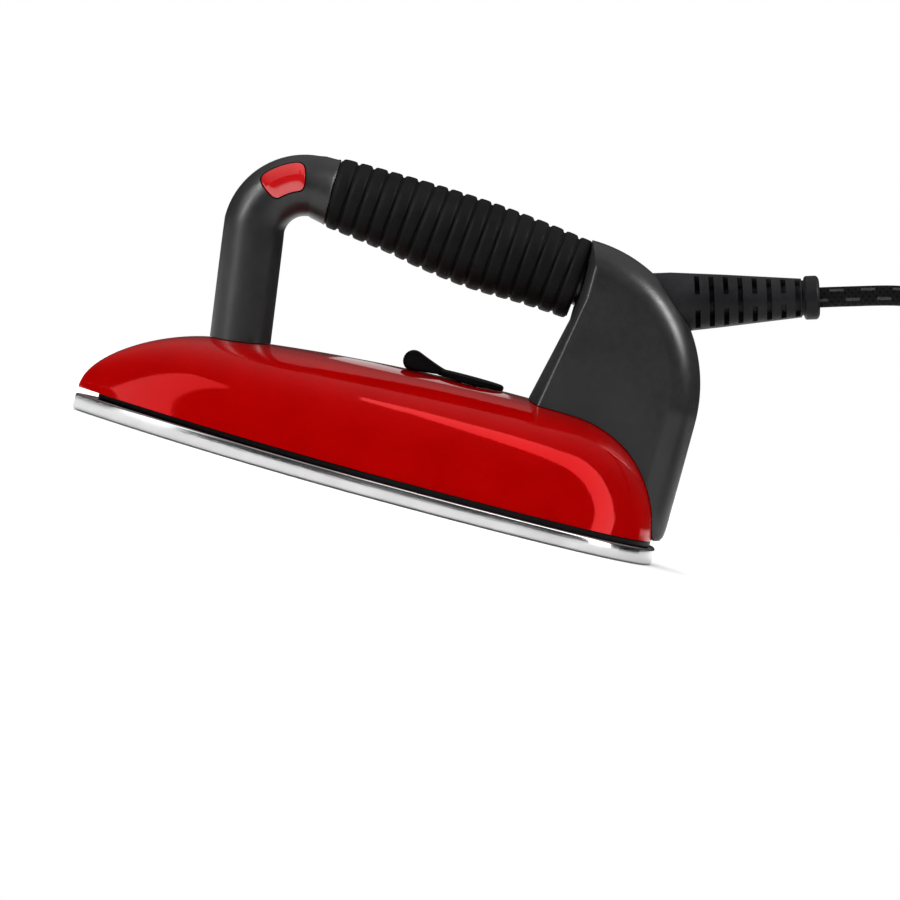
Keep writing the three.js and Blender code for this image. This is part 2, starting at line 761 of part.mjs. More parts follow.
function buildLead(start, end) {
  const portZ = coverTop + 2;
  return tube([
    [blockRear + 0.4, start.y, nutSeatZ + 5],
    [rearStudX - 2, start.portY, nutSeatZ + 9],
    [wirePortX + start.portX, start.portY, portZ],
    [wirePortX + start.portX, start.portY, portZ - 14],
    ...end,
  ], wireRadius, 6, 12);
}

function buildThermalFuse() {
  const lead = tube([
    [stackX + 12.5, -1.5, 15.5], [stackX + 20, -6, 15.5], [along(0.83), -14, 15.5],
    [terminalEndX + 0.3, -21, 14], [terminalEndX + 0.75, -23.6, 13.2],
  ], 0.6, 6, 8);
  const can = turnedAlongX(rearStudX - 17.5, -8.6, 15.5, [[0, 1.6], [1, 2.3], [10, 2.3], [11, 1.6]], 8);
  return join(lead, can);
}

// ---------------------------------------------------------------- lamp

function buildLamp() {
  const a = THREE.MathUtils.degToRad(128);
  const heading = a - Math.PI / 2;
  const x = bendX + bendRadius * Math.cos(a) - 6 * Math.cos(heading);
  const z = bendZ + bendRadius * Math.sin(a) - 6 * Math.sin(heading);
  return turned(x, z, heading, [[0, 1], [1.2, 2.6], [11, 2.6], [12.5, 2]], 12);
}

function buildLampLead() {
  const a = THREE.MathUtils.degToRad(102);
  const inGrip = [0.05, 0.35, 0.65, 0.95].map((f) => {
    const x = gripFrontX + f * gripLength;
    return [x, 0, gripAt(x).z];
  });
  const outZ = gripAt(coreEndX - 2).z;
  return tube([
    [bendX + bendRadius * Math.cos(a), 0, bendZ + bendRadius * Math.sin(a)],
    ...inGrip,
    [coreEndX - 2, 0, outZ],
    [coreEndX + 2, 2.5, outZ - 0.7], [coreEndX + 2.2, 8, outZ - 5.2],
    [coreEndX + 1.9, blockHalfWidth - 2, outZ - 15.2],
    [blockFront + 5, blockHalfWidth - 2, blockTop + 8],
    [blockFront + 5, blockHalfWidth - 2, blockTop + wireRadius],
  ], 1, 6, 22);
}

// ---------------------------------------------------------------- temperature control

const camPinReach = 5;                   // push pin stands this far from the lever's axis
const camSlope = 0.17;
const camLow = 28.3;
const keyRadius = 3.5;                   // six-sided end of the spindle

function buildLever() {
  const underside = recessZ + 0.5;
  const top = coverTop + 2.2;
  const disc = rod(leverX, 0, underside, top, leverDiscRadius, 26, leverDiscRadius - 0.8);
  const knobX = leverX - leverReach;
  const tongue = sideSlab((inset) => [
    new THREE.Vector2(leverX, underside), new THREE.Vector2(leverX, top),
    new THREE.Vector2(leverX - 11, top - inset), new THREE.Vector2(knobX, coverTop + 6.4 - inset),
    new THREE.Vector2(knobX - 2.6 + inset, coverTop + 5.4 - inset),
    new THREE.Vector2(knobX - 3.8 + inset, coverTop + 2.5),
    new THREE.Vector2(knobX - 3.2 + inset, coverTop - 0.4),
    new THREE.Vector2(leverX - 11, underside),
  ], 9, 1, 1);
  const key = rod(leverX, 0, underside - 1, top - 1, keyRadius + touchGap, 6);
  return cut(join(disc, tongue), key);
}

function buildSpindle() {
  const shaft = rod(leverX, 0, camLow + 3, coverTop + 1, 3, 16);
  return join(shaft, rod(leverX, 0, coverTop - 0.6, coverTop + 0.8, keyRadius, 6));
}

function buildSpindleBush() {
  const under = crownHeight(leverX) - coverWall;
  const barrel = rod(leverX, 0, camLow + 10, recessZ - 0.3, bushRadius, 20);
  const flange = rod(leverX, 0, under - 3.4, under - 0.9, 9, 16);
  return cut(join(barrel, flange), rod(leverX, 0, 0, 80, 3 + touchGap, 16));
}

function buildCamHub() {
  const hub = rod(leverX, 0, camLow - 2, camLow + 8.5, 7.5, 18);
  const wedge = new THREE.BoxGeometry(40, 40, 10);
  wedge.translate(0, 0, -5).rotateX(Math.atan(camSlope)).translate(leverX, 0, camLow);
  return cut(hub, solid(wedge), rod(leverX, 0, camLow + 2.5, camLow + 20, 3 + touchGap, 16));
}

const leafZ = { bimetal: 11.2, lower: 15.7, upper: 20.8 };
const leafTip = leverX - 14;
const frameTop = 25.4;

function buildPushPin() {
  const x = leverX - camPinReach;
  return join(
    rod(x, 0, leafZ.upper + 0.8, camLow - 0.9, 1.3, 12),
    rod(x, 0, camLow - 1, camLow - 0.45, 1.3, 12, 0.7),
  );
}

function buildThermostatFrame() {
  const bottom = padTop + touchGap;
  const foot = block(leverX - 17, stackX + 7, -9.5, 9.5, bottom, bottom + 1.4);
  const loop = cut(
    block(leverX - 9, leverX - 1, -9.5, 9.5, bottom, frameTop),
    block(leverX - 10, leverX, -8, 8, bottom + 1, frameTop - 1.3),
  );
  const seat = rod(stackX, 0, bottom, leafZ.bimetal - touchGap, 4.5);
  const hole = rod(stackX, 0, 0, 40, 1.6 + boltClearance);
  const guide = rod(leverX - camPinReach, 0, frameTop - 3, frameTop + 2, 1.3 + touchGap);
  return cut(join(foot, loop, seat), hole, guide);
}

function buildLeaf(z, thickness, halfWidth, rearX) {
  const strip = block(leafTip, rearX, -halfWidth, halfWidth, z, z + thickness);
  return cut(strip, rod(stackX, 0, 0, 40, 1.6 + boltClearance));
}

function buildLowerLeaf() {
  return join(buildLeaf(leafZ.lower, 0.5, 3.5, stackX + 11),
    rod(leafTip + 3, 0, leafZ.lower + 0.4, leafZ.lower + 1.8, 1.9, 14));
}

function buildUpperLeaf() {
  return join(buildLeaf(leafZ.upper, 0.5, 3.5, stackX + 8),
    rod(leafTip + 3, 0, leafZ.upper - 2.1, leafZ.upper + 0.1, 1.9, 14));
}

function buildStackSpacer(z0, z1) {
  const ring = rod(stackX, 0, z0 + touchGap, z1 - touchGap, 4.8, 18);
  return cut(ring, rod(stackX, 0, 0, 40, 1.6 + boltClearance));
}

function buildStackScrew() {
  const top = leafZ.upper + 4.2;
  const head = rod(stackX, 0, top, top + 1.8, 3.2, 16);
  return join(head, rod(stackX, 0, 4.3, top + 1, 1.6, 10));
}

// ---------------------------------------------------------------- mains lead

// The lead leaves the strain relief, arches over and comes down to the table behind the iron.
const leadRoute = [
  [heelX + 32.9, 0, 112.9], [heelX + 47, 0, 117.2], [heelX + 61.5, 0, 121.3],
  [heelX + 73.5, -1, 122.5], [heelX + 85.5, -4, 119.3], [heelX + 95.5, -8, 111.8],
  [heelX + 102.5, -12, 101.3], [heelX + 107.5, -15.2, 88.5], [heelX + 112.5, -18.4, 74],
  [heelX + 117, -21.6, 60], [heelX + 122, -25, 44.5], [heelX + 126.5, -28.4, 30.5],
  [heelX + 131.5, -32.2, 19], [heelX + 138.5, -37, 10], [heelX + 147, -41.4, 5.2],
  [heelX + 156, -45, 4],
];
const coil = { x: heelX + 178.5, y: 0, turnsWide: 3, layers: 2 };
const coilHalfWidth = (coil.turnsWide * (cordDiameter + 0.3)) / 2;
const coilHeight = coil.layers * (cordDiameter + 0.2);
const tailRoute = [
  [coil.x + 39.5, -32.8, 11.7], [coil.x + 47.5, -23.3, 13.4], [coil.x + 56, -14.8, 17.3],
  [coil.x + 61, -9.8, plugRadius], [coil.x + 64.5, -6.3, plugRadius],
];

function coilForm(grow) {
  const outer = coilMeanRadius + coilHalfWidth + grow;
  const inner = coilMeanRadius - coilHalfWidth - grow;
  const top = coilHeight + grow;
  const bottom = -grow;
  const round = 3;
  const profile = [
    [inner, bottom + round], [inner + round, bottom], [outer - round, bottom],
    [outer, bottom + round], [outer, top - round], [outer - round, top],
    [inner + round, top], [inner, top - round], [inner, bottom + round],
  ].map(([r, z]) => new THREE.Vector2(r, z));
  const ring = new THREE.LatheGeometry(profile, 24).rotateX(Math.PI / 2);
  return solid(ring.translate(coil.x, coil.y, 0));
}

function buildPowerCord() {
  return cut(tube(leadRoute, cordRadius, 8, 24), coilForm(touchGap));
}

const plugHeading = Math.PI / 4;
const plugStart = tailRoute[tailRoute.length - 1];

// Body of revolution about the plug's level axis, which points away from the tail.
function aboutPlugAxis(profile, sides, offset = 0) {
  const rings = profile.map(([distance, radius]) => ringAcross(distance, 0, 0, radius, sides));
  const placed = rings.map((ring) => ring.map((p) => new THREE.Vector3(
    plugStart[0] + p.x * Math.cos(plugHeading) - (p.y + offset) * Math.sin(plugHeading),
    plugStart[1] + p.x * Math.sin(plugHeading) + (p.y + offset) * Math.cos(plugHeading),
    plugRadius + p.z,
  )));
  return loft(placed);
}

const pinSpacing = 19;
const pinRadius = 2.4;

function buildPlugBody() {
  const body = aboutPlugAxis([
    [0.5, 5.2], [10, 6.2], [14, 9], [18, 16.5], [21, plugRadius], [40, plugRadius],
    [41, plugRadius - 1],
  ], 16);
  const sockets = [-1, 1].map((side) => (
    aboutPlugAxis([[34, pinRadius + touchGap], [50, pinRadius + touchGap]], 14,
      (side * pinSpacing) / 2)
  ));
  return cut(body, ...sockets);
}

function buildPlugPin(side) {
  const profile = [[34.3, pinRadius], [58, pinRadius], [60, pinRadius - 1.2]];
  return aboutPlugAxis(profile, 14, (side * pinSpacing) / 2);
}

function buildCordTail() {
  return cut(tube(tailRoute, cordRadius, 8, 5), coilForm(touchGap));
}

// Strap over one place of the coil, open below where the coil rests on the table.
function buildCordTie() {
  const half = 4;
  const y = coil.y + coilMeanRadius;
  const outer = block(coil.x - half, coil.x + half, y - coilHalfWidth - 1.8,
    y + coilHalfWidth + 1.8, 0, coilHeight + 1.8);
  return cut(outer, coilForm(touchGap));
}

// ---------------------------------------------------------------- assembly

const iron = new THREE.Group();

function add(name, manifold, color, roughness, metalness = 0) {
  const material = new THREE.MeshStandardMaterial({ color, roughness, metalness });
  const mesh = new THREE.Mesh(surface(manifold), material);
  mesh.name = name;
  iron.add(mesh);
}

const colours = {
  aluminium: 0xc9cbcd, steel: 0x9a9da0, brass: 0xb8964a, red: 0xb40a0a, lamp: 0xc81414,
  grey: 0x3b3d40, black: 0x17181a, ceramic: 0xe4ded0, white: 0xe9e9e4, blue: 0x23408f,
  brown: 0x6b3f22, green: 0x4f8f3a, glass: 0xe7c9b0,
};

add('soleplate', buildSoleplate(), colours.aluminium, 0.2, 1);
add('heating_element', buildHeatingElement(), colours.steel, 0.4, 1);
add('heater_terminal_left', buildHeaterTerminal(-1), colours.steel, 0.35, 1);
add('heater_terminal_right', buildHeaterTerminal(1), colours.steel, 0.35, 1);
add('heat_shield_skirt', buildSkirt(), colours.black, 0.6);
add('heat_baffle', buildBaffle(), colours.steel, 0.45, 1);
add('cover_shell', buildCover(), colours.red, 0.15);
add('nose_clip', buildNoseClip(), colours.steel, 0.4, 1);
add('nose_clip_screw', buildNoseClipScrew(), colours.steel, 0.35, 1);

add('handle_tube', buildHandleTube(), colours.grey, 0.4);
add('grip_sleeve', buildGrip(), colours.black, 0.75);
add('handle_insert', buildInsert(), colours.brass, 0.35, 1);
add('front_handle_screw', buildHandleScrew(), colours.steel, 0.35, 1);

const [housingLeft, housingRight] = splitHousing(buildHousing());
add('rear_housing_left', housingLeft, colours.grey, 0.4);
add('rear_housing_right', housingRight, colours.grey, 0.4);
for (const place of housingScrews) {
  add(`housing_screw_${place.name}`, buildHousingScrew(place), colours.steel, 0.35, 1);
}
for (const [name, side] of [['left', -1], ['right', 1]]) {
  add(`rear_stud_${name}`, buildRearStud(side), colours.steel, 0.35, 1);
  add(`rear_spacer_${name}`, buildRearSpacer(side), colours.steel, 0.45, 1);
  add(`rear_nut_${name}`, buildRearNut(side), colours.steel, 0.35, 1);
}

add('strain_relief', buildStrainRelief(), colours.black, 0.65);
add('cord_inner_end', buildCordInnerEnd(), colours.black, 0.8);
add('cord_clamp', buildCordClamp(), colours.black, 0.6);
add('cord_clamp_screw_left', buildClampScrew(-1), colours.steel, 0.35, 1);
add('cord_clamp_screw_right', buildClampScrew(1), colours.steel, 0.35, 1);
add('terminal_block', buildTerminalBlock(), colours.ceramic, 0.5);
add('cord_core_live', buildCordCore(-6), colours.brown, 0.6);
add('cord_core_earth', buildCordCore(0), colours.green, 0.6);
add('cord_core_neutral', buildCordCore(6), colours.blue, 0.6);
add('lead_live', buildLead({ y: -6, portX: 0, portY: -2.8 }, [
  [wirePortX - 7, 7 - rearStudY, 27], [stackX + 22, -5, 24], [stackX + 9.2, -2, 21.6],
]), colours.brown, 0.6);
add('lead_neutral', buildLead({ y: 6, portX: -0.6, portY: 2.9 }, [
  [wirePortX - 3, 10, 25], [terminalEndX + 2.3, 21, 16], [terminalEndX + 0.75, 23.8, 13.8],
]), colours.blue, 0.6);
add('lead_earth', buildLead({ y: 0, portX: 2.6, portY: 0 }, [
  [along(0.932), 0, 22], [along(0.93), 0, 10.4],
]), colours.green, 0.6);
add('thermal_fuse', buildThermalFuse(), colours.ceramic, 0.4);

add('pilot_lamp_lens', buildLens(), colours.lamp, 0.15);
add('neon_lamp', buildLamp(), colours.glass, 0.1);
add('lamp_lead', buildLampLead(), colours.white, 0.6);

add('temperature_lever', buildLever(), colours.black, 0.4);
add('lever_spindle', buildSpindle(), colours.steel, 0.35, 1);
add('spindle_bush', buildSpindleBush(), colours.brass, 0.4, 1);
add('cam_hub', buildCamHub(), colours.ceramic, 0.5);
add('push_pin', buildPushPin(), colours.ceramic, 0.4);
add('thermostat_frame', buildThermostatFrame(), colours.steel, 0.45, 1);
add('bimetal_strip', buildLeaf(leafZ.bimetal, 1, 4.5, stackX + 5), colours.brass, 0.4, 1);
add('transfer_pin', rod(leafTip + 6, 0, leafZ.bimetal + 1.3, leafZ.lower - 0.3, 1.3, 12),
  colours.ceramic, 0.4);
add('lower_contact_leaf', buildLowerLeaf(), colours.brass, 0.35, 1);
add('upper_contact_leaf', buildUpperLeaf(), colours.brass, 0.35, 1);
add('stack_spacer_lower', buildStackSpacer(leafZ.bimetal + 1, leafZ.lower), colours.ceramic, 0.5);
add('stack_spacer_upper', buildStackSpacer(leafZ.lower + 0.5, leafZ.upper), colours.ceramic, 0.5);
add('stack_spacer_top', buildStackSpacer(leafZ.upper + 0.5, leafZ.upper + 4.2), colours.ceramic, 0.5);
add('stack_screw', buildStackScrew(), colours.steel, 0.35, 1);

add('power_cord', buildPowerCord(), colours.black, 0.85);
add('cord_coil', coilForm(0), colours.black, 0.85);
add('cord_tie', buildCordTie(), colours.black, 0.6);
add('cord_tail', buildCordTail(), colours.black, 0.85);
add('plug_body', buildPlugBody(), colours.black, 0.5);
add('plug_pin_1', buildPlugPin(-1), colours.steel, 0.25, 1);
add('plug_pin_2', buildPlugPin(1), colours.steel, 0.25, 1);

export default iron;
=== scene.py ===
"""Electric dry iron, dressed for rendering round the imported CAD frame. Metres, +Z up."""

import json
import math

import bmesh
import bpy
from mathutils import Matrix, Vector


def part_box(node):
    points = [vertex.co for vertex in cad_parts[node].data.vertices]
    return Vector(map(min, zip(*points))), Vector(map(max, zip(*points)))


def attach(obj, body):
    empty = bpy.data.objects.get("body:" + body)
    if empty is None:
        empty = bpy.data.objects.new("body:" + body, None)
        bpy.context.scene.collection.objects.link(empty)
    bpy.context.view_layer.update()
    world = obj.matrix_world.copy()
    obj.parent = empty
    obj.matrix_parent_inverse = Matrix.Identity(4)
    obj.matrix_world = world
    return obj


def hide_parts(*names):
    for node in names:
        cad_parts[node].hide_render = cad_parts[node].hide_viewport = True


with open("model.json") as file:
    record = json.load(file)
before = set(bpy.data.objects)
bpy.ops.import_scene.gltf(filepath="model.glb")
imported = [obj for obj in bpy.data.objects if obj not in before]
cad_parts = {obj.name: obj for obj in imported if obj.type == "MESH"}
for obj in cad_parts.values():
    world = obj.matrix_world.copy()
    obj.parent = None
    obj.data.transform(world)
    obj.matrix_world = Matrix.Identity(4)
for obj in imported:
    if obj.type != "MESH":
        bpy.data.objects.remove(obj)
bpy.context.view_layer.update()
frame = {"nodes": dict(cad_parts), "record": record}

MM = 0.001
MERGE = 0.000004                    # points nearer than this become one, in metres


def box_mm(node):
    """Lowest and highest corner of a CAD node, in millimetres."""
    low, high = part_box(node)
    return Vector(low) / MM, Vector(high) / MM


sole_low, sole_high = box_mm("soleplate")
HEEL_X = box_mm("rear_housing_left")[1].x
skirt_low, skirt_high = box_mm("heat_shield_skirt")

NOSE_X = sole_low.x
TAIL_X = sole_high.x
SOLE_LENGTH = TAIL_X - NOSE_X


def along(fraction):
    """X at a fraction of the sole's length from the nose."""
    return NOSE_X + fraction * SOLE_LENGTH


def add_object(name, data):
    """New object in the scene."""
    thing = bpy.data.objects.new(name, data)
    bpy.context.scene.collection.objects.link(thing)
    return thing


# ---- camera

VIEW_WIDTH = 0.3375                 # what the view spans at the iron, in metres
CAMERA_LENS = 200.0
CAMERA_RAISED = math.radians(3.0)   # above the sole's plane
CAMERA_ROLL = math.radians(15.04)   # the iron is seen with its nose up
VIEW_CENTRE = Vector((along(0.627), 0.0, 21.7)) * MM


def make_camera():
    data = bpy.data.cameras.new("camera")
    data.lens = CAMERA_LENS
    data.sensor_width = 36.0
    data.clip_start = 0.05
    data.clip_end = 60.0
    camera = add_object("camera", data)
    bpy.context.scene.camera = camera
    back = Vector((0.0, -math.cos(CAMERA_RAISED), math.sin(CAMERA_RAISED)))
    up = Vector((-math.sin(CAMERA_ROLL), 0.0, math.cos(CAMERA_ROLL)))
    up = (up - back * up.dot(back)).normalized()
    right = up.cross(back)
    turn = Matrix((right, up, back)).transposed().to_4x4()
    distance = VIEW_WIDTH * CAMERA_LENS / data.sensor_width
    camera.matrix_world = Matrix.Translation(VIEW_CENTRE + back * distance) @ turn


make_camera()


# ---- mesh helpers

def new_object(name, vertices, faces, smooth_angle=35.0, uv=None):
    """Mesh object from points in millimetres; edges sharper than the angle stay crisp."""
    mesh = bpy.data.meshes.new(name)
    mesh.from_pydata([tuple(c * MM for c in v) for v in vertices], [], faces)
    if uv is not None:
        layer = mesh.uv_layers.new(name="UVMap")
        for face in mesh.polygons:
            around = [uv[v][1] for v in face.vertices]
            across_seam = len(around) == 4 and max(around) - min(around) > 0.5
            for loop, vertex, v in zip(face.loop_indices, face.vertices, around):
                shift = 1.0 if across_seam and v < 0.5 else 0.0
                layer.data[loop].uv = (uv[vertex][0], v + shift)
    piece = add_object(name, mesh)
    face_outwards(mesh)
    shade(mesh, smooth_angle)
    return piece


def edit_mesh(mesh, *edits):
    """Runs bmesh operators on a mesh."""
    work = bmesh.new()
    work.from_mesh(mesh)
    for edit in edits:
        edit(work)
    work.to_mesh(mesh)
    work.free()


def face_outwards(mesh):
    edit_mesh(mesh, lambda work: bmesh.ops.recalc_face_normals(work, faces=work.faces))


def merge_points(mesh):
    """Joins points closer than MERGE and removes what has no size left."""
    edit_mesh(
        mesh,
        lambda work: bmesh.ops.remove_doubles(work, verts=work.verts, dist=MERGE),
        lambda work: bmesh.ops.dissolve_degenerate(work, edges=work.edges, dist=MERGE),
    )


def shade(mesh, smooth_angle):
    mesh.shade_smooth()
    mesh.set_sharp_from_angle(angle=math.radians(smooth_angle))


def loft_faces(rings, count, closed=False):
    """Quads between successive rings, and a flat cap at each end unless the row is closed."""
    faces = []
    rows = rings if closed else rings - 1
    for i in range(rows):
        a = i * count
        b = ((i + 1) % rings) * count
        for j in range(count):
            k = (j + 1) % count
            faces.append((a + j, a + k, b + k, b + j))
    if not closed:
        faces.append(tuple(range(count - 1, -1, -1)))
        faces.append(tuple(range((rings - 1) * count, rings * count)))
    return faces


def loft(name, rings, smooth_angle=35.0, closed=False):
    count = len(rings[0])
    points = [p for ring in rings for p in ring]
    return new_object(name, points, loft_faces(len(rings), count, closed), smooth_angle)


def apply_modifiers(piece):
    """Bakes the piece's modifiers into its mesh."""
    graph = bpy.context.evaluated_depsgraph_get()
    mesh = bpy.data.meshes.new_from_object(piece.evaluated_get(graph))
    piece.modifiers.clear()
    piece.data = mesh


def combine(piece, other, operation="DIFFERENCE", smooth_angle=35.0):
    """Boolean of two pieces; the second one is used up."""
    tool = piece.modifiers.new("combine", "BOOLEAN")
    tool.operation = operation
    tool.solver = "EXACT"
    tool.object = other
    bpy.context.view_layer.update()
    apply_modifiers(piece)
    bpy.data.objects.remove(other)
    merge_points(piece.data)
    shade(piece.data, smooth_angle)
    return piece


def point_across(x, z, heading, radius, a):
    """Point round a line that runs in the X-Z plane at an angle above +X."""
    rise = radius * math.cos(a)
    return Vector((
        x - rise * math.sin(heading), radius * math.sin(a), z + rise * math.cos(heading),
    ))


def ring_across(x, z, heading, radius, sides):
    return [point_across(x, z, heading, radius, 2 * math.pi * i / sides) for i in range(sides)]


def spun(name, profile, place, sides):
    """Body of revolution from (distance, radius) pairs; place() gives each point."""
    turns = [2 * math.pi * i / sides for i in range(sides)]
    rings = [[place(d, r * math.cos(a), r * math.sin(a)) for a in turns] for d, r in profile]
    return loft(name, rings)


def turned(name, x, z, heading, profile, sides=48):
    """Body of revolution about a line in the X-Z plane."""
    rings = [
        ring_across(x + d * math.cos(heading), z + d * math.sin(heading), heading, r, sides)
        for d, r in profile
    ]
    return loft(name, rings)


def turned_upright(name, x, y, profile, sides=48):
    return spun(name, profile, lambda z, u, v: Vector((x + u, y + v, z)), sides)


def turned_across(name, x, z, profile, sides=32):
    return spun(name, profile, lambda y, u, v: Vector((x + u, y, z + v)), sides)


def drill(piece, holes, low, high, sides):
    """Cuts upright holes, each an (x, y, radius), from one height to another."""
    for i, (x, y, radius) in enumerate(holes):
        combine(piece, turned_upright(f"drill_{i}", x, y, [(low, radius), (high, radius)], sides))


def quarter(steps):
    """Angles of a quarter turn, both ends included."""
    return [math.pi / 2 * i / steps for i in range(steps + 1)]


def side_slab(name, outline_at, width, corner, steps):
    """Slab drawn from the side, centred on Y = 0; outline_at(inset) rounds its two edges."""
    flat_to = width / 2 - corner
    edge = [
        (flat_to + corner * math.sin(a), corner * (1 - math.cos(a))) for a in quarter(steps)
    ]
    stations = [(-y, inset) for y, inset in reversed(edge)] + edge
    return loft(name, [
        [Vector((x, y, z)) for x, z in outline_at(inset)] for y, inset in stations
    ])


def smooth_path(points, spacing):
    """Catmull-Rom curve through the points, sampled about every spacing millimetres."""
    points = [Vector(p) for p in points]
    ends = [points[0] * 2 - points[1], points[-1] * 2 - points[-2]]
    knots = [ends[0], *points, ends[1]]
    path = []
    for i in range(1, len(knots) - 2):
        p0, p1, p2, p3 = knots[i - 1:i + 3]
        steps = max(1, round((p2 - p1).length / spacing))
        for s in range(steps):
            t = s / steps
            path.append(0.5 * (
                2 * p1 + (p2 - p0) * t
                + (2 * p0 - 5 * p1 + 4 * p2 - p3) * t * t
                + (3 * p1 - p0 - 3 * p2 + p3) * t * t * t
            ))
    path.append(points[-1])
    return path


def even_path(path, spacing):
    """The same line with points an even distance apart, its small corners averaged away."""
    steps = round(path_length(path) / spacing)
    size = path_length(path) / steps
    even = [path[0]]
    walked = 0.0
    for a, b in zip(path, path[1:]):
        span = (b - a).length
        while len(even) < steps and len(even) * size <= walked + span:
            even.append(a.lerp(b, (len(even) * size - walked) / span))
        walked += span
    even.append(path[-1])
    for _ in range(3):
        inner = [(a + 2 * b + c) / 4 for a, b, c in zip(even, even[1:], even[2:])]
        even = [even[0], *inner, even[-1]]
    return even


def path_length(path):
    return sum((b - a).length for a, b in zip(path, path[1:]))


def directions(path):
    """Direction of a path at each of its points."""
    last = len(path) - 1
    return [(path[min(i + 1, last)] - path[max(i - 1, 0)]).normalized() for i in range(last + 1)]


def tube_along(name, path, radius, sides):
    """Closed tube along a dense path. U counts metres along it, V turns round it."""
    tangents = directions(path)
    normal = tangents[0].orthogonal().normalized()
    points = []
    coordinates = []
    travelled = 0.0
    for i, centre in enumerate(path):
        if i:
            travelled += (centre - path[i - 1]).length
            normal = (normal - tangents[i] * normal.dot(tangents[i])).normalized()
        side = tangents[i].cross(normal)
        for j in range(sides):
            a = 2 * math.pi * j / sides
            points.append(centre + (normal * math.cos(a) + side * math.sin(a)) * radius)
            coordinates.append((travelled * MM, j / sides))
    return new_object(name, points, loft_faces(len(path), sides), 40.0, coordinates)


# ---- mains lead

CORD_RADIUS = 3.8
LEAD_ROUTE = [(HEEL_X + x, y, z) for x, y, z in (
    (32.9, 0, 112.9), (47, 0, 117.2), (61.5, 0, 121.3), (73.5, -1, 122.5), (85.5, -4, 119.3),
    (95.5, -8, 111.8), (102.5, -12, 101.3), (107.5, -15.2, 88.5), (112.5, -18.4, 74),
    (117, -21.6, 60), (122, -25, 44.5), (126.5, -28.4, 30.5), (131.5, -32.2, 19),
    (138.5, -37.8, 10), (146.5, -43, 5.2),
)]
COIL_X = HEEL_X + 178.5
COIL_PITCH = 7.9
COIL_RADIUS = 45.0
COIL_FROM = math.radians(243.0)
COIL_TURNS = 5.0 + (320.0 - 243.0) / 360.0
COIL_LAYERS = (3.9, 11.6)
TAIL_ROUTE = [(COIL_X + x, y, z) for x, y, z in (
    (47.5, -23.8, 13.4), (56, -14.8, 17.3), (61, -9.8, 18.5), (64.5, -6.3, 18.5),
    (66.5, -4.3, 18.5),
)]


def step_between(value, start, end, low, high):
    """Smooth change from low to high while value goes from start to end."""
    t = min(1.0, max(0.0, (value - start) / (end - start)))
    return low + (high - low) * t * t * (3 - 2 * t)


def coil_path():
    """Three turns inwards on the table, then outwards on top of them."""
    outer = COIL_RADIUS + COIL_PITCH
    inner = COIL_RADIUS - COIL_PITCH
    path = []
    steps = round(COIL_TURNS * 60)
    for i in range(steps + 1):
        turn = COIL_TURNS * i / steps
        radius = outer
        radius += step_between(turn, 0.7, 1.0, 0, -COIL_PITCH)
        radius += step_between(turn, 1.7, 2.0, 0, inner - COIL_RADIUS)
        radius += step_between(turn, 3.7, 4.0, 0, COIL_PITCH)
        radius += step_between(turn, 4.98, 5.2, 0, COIL_PITCH)
        z = step_between(turn, 2.7, 3.0, *COIL_LAYERS)
        a = COIL_FROM + 2 * math.pi * turn
        path.append(Vector((COIL_X + radius * math.cos(a), radius * math.sin(a), z)))
    return path


def make_cord():
    coil = coil_path()
    lead = smooth_path([*LEAD_ROUTE, coil[0], coil[4]], 3.0)
    arrive = min(range(len(lead)), key=lambda i: (lead[i] - coil[0]).length)
    tail = smooth_path([coil[-5], coil[-1], *TAIL_ROUTE], 3.0)
    leave = min(range(len(tail)), key=lambda i: (tail[i] - coil[-1]).length)
    path = lead[:arrive] + coil + tail[leave + 1:]
    path = even_path(path, 3.0)
    path.insert(0, path[0] - (path[1] - path[0]).normalized() * 2.5)
    return tube_along("mains_lead", path, CORD_RADIUS, 24), path


mains_lead, lead_path = make_cord()


# ---- materials

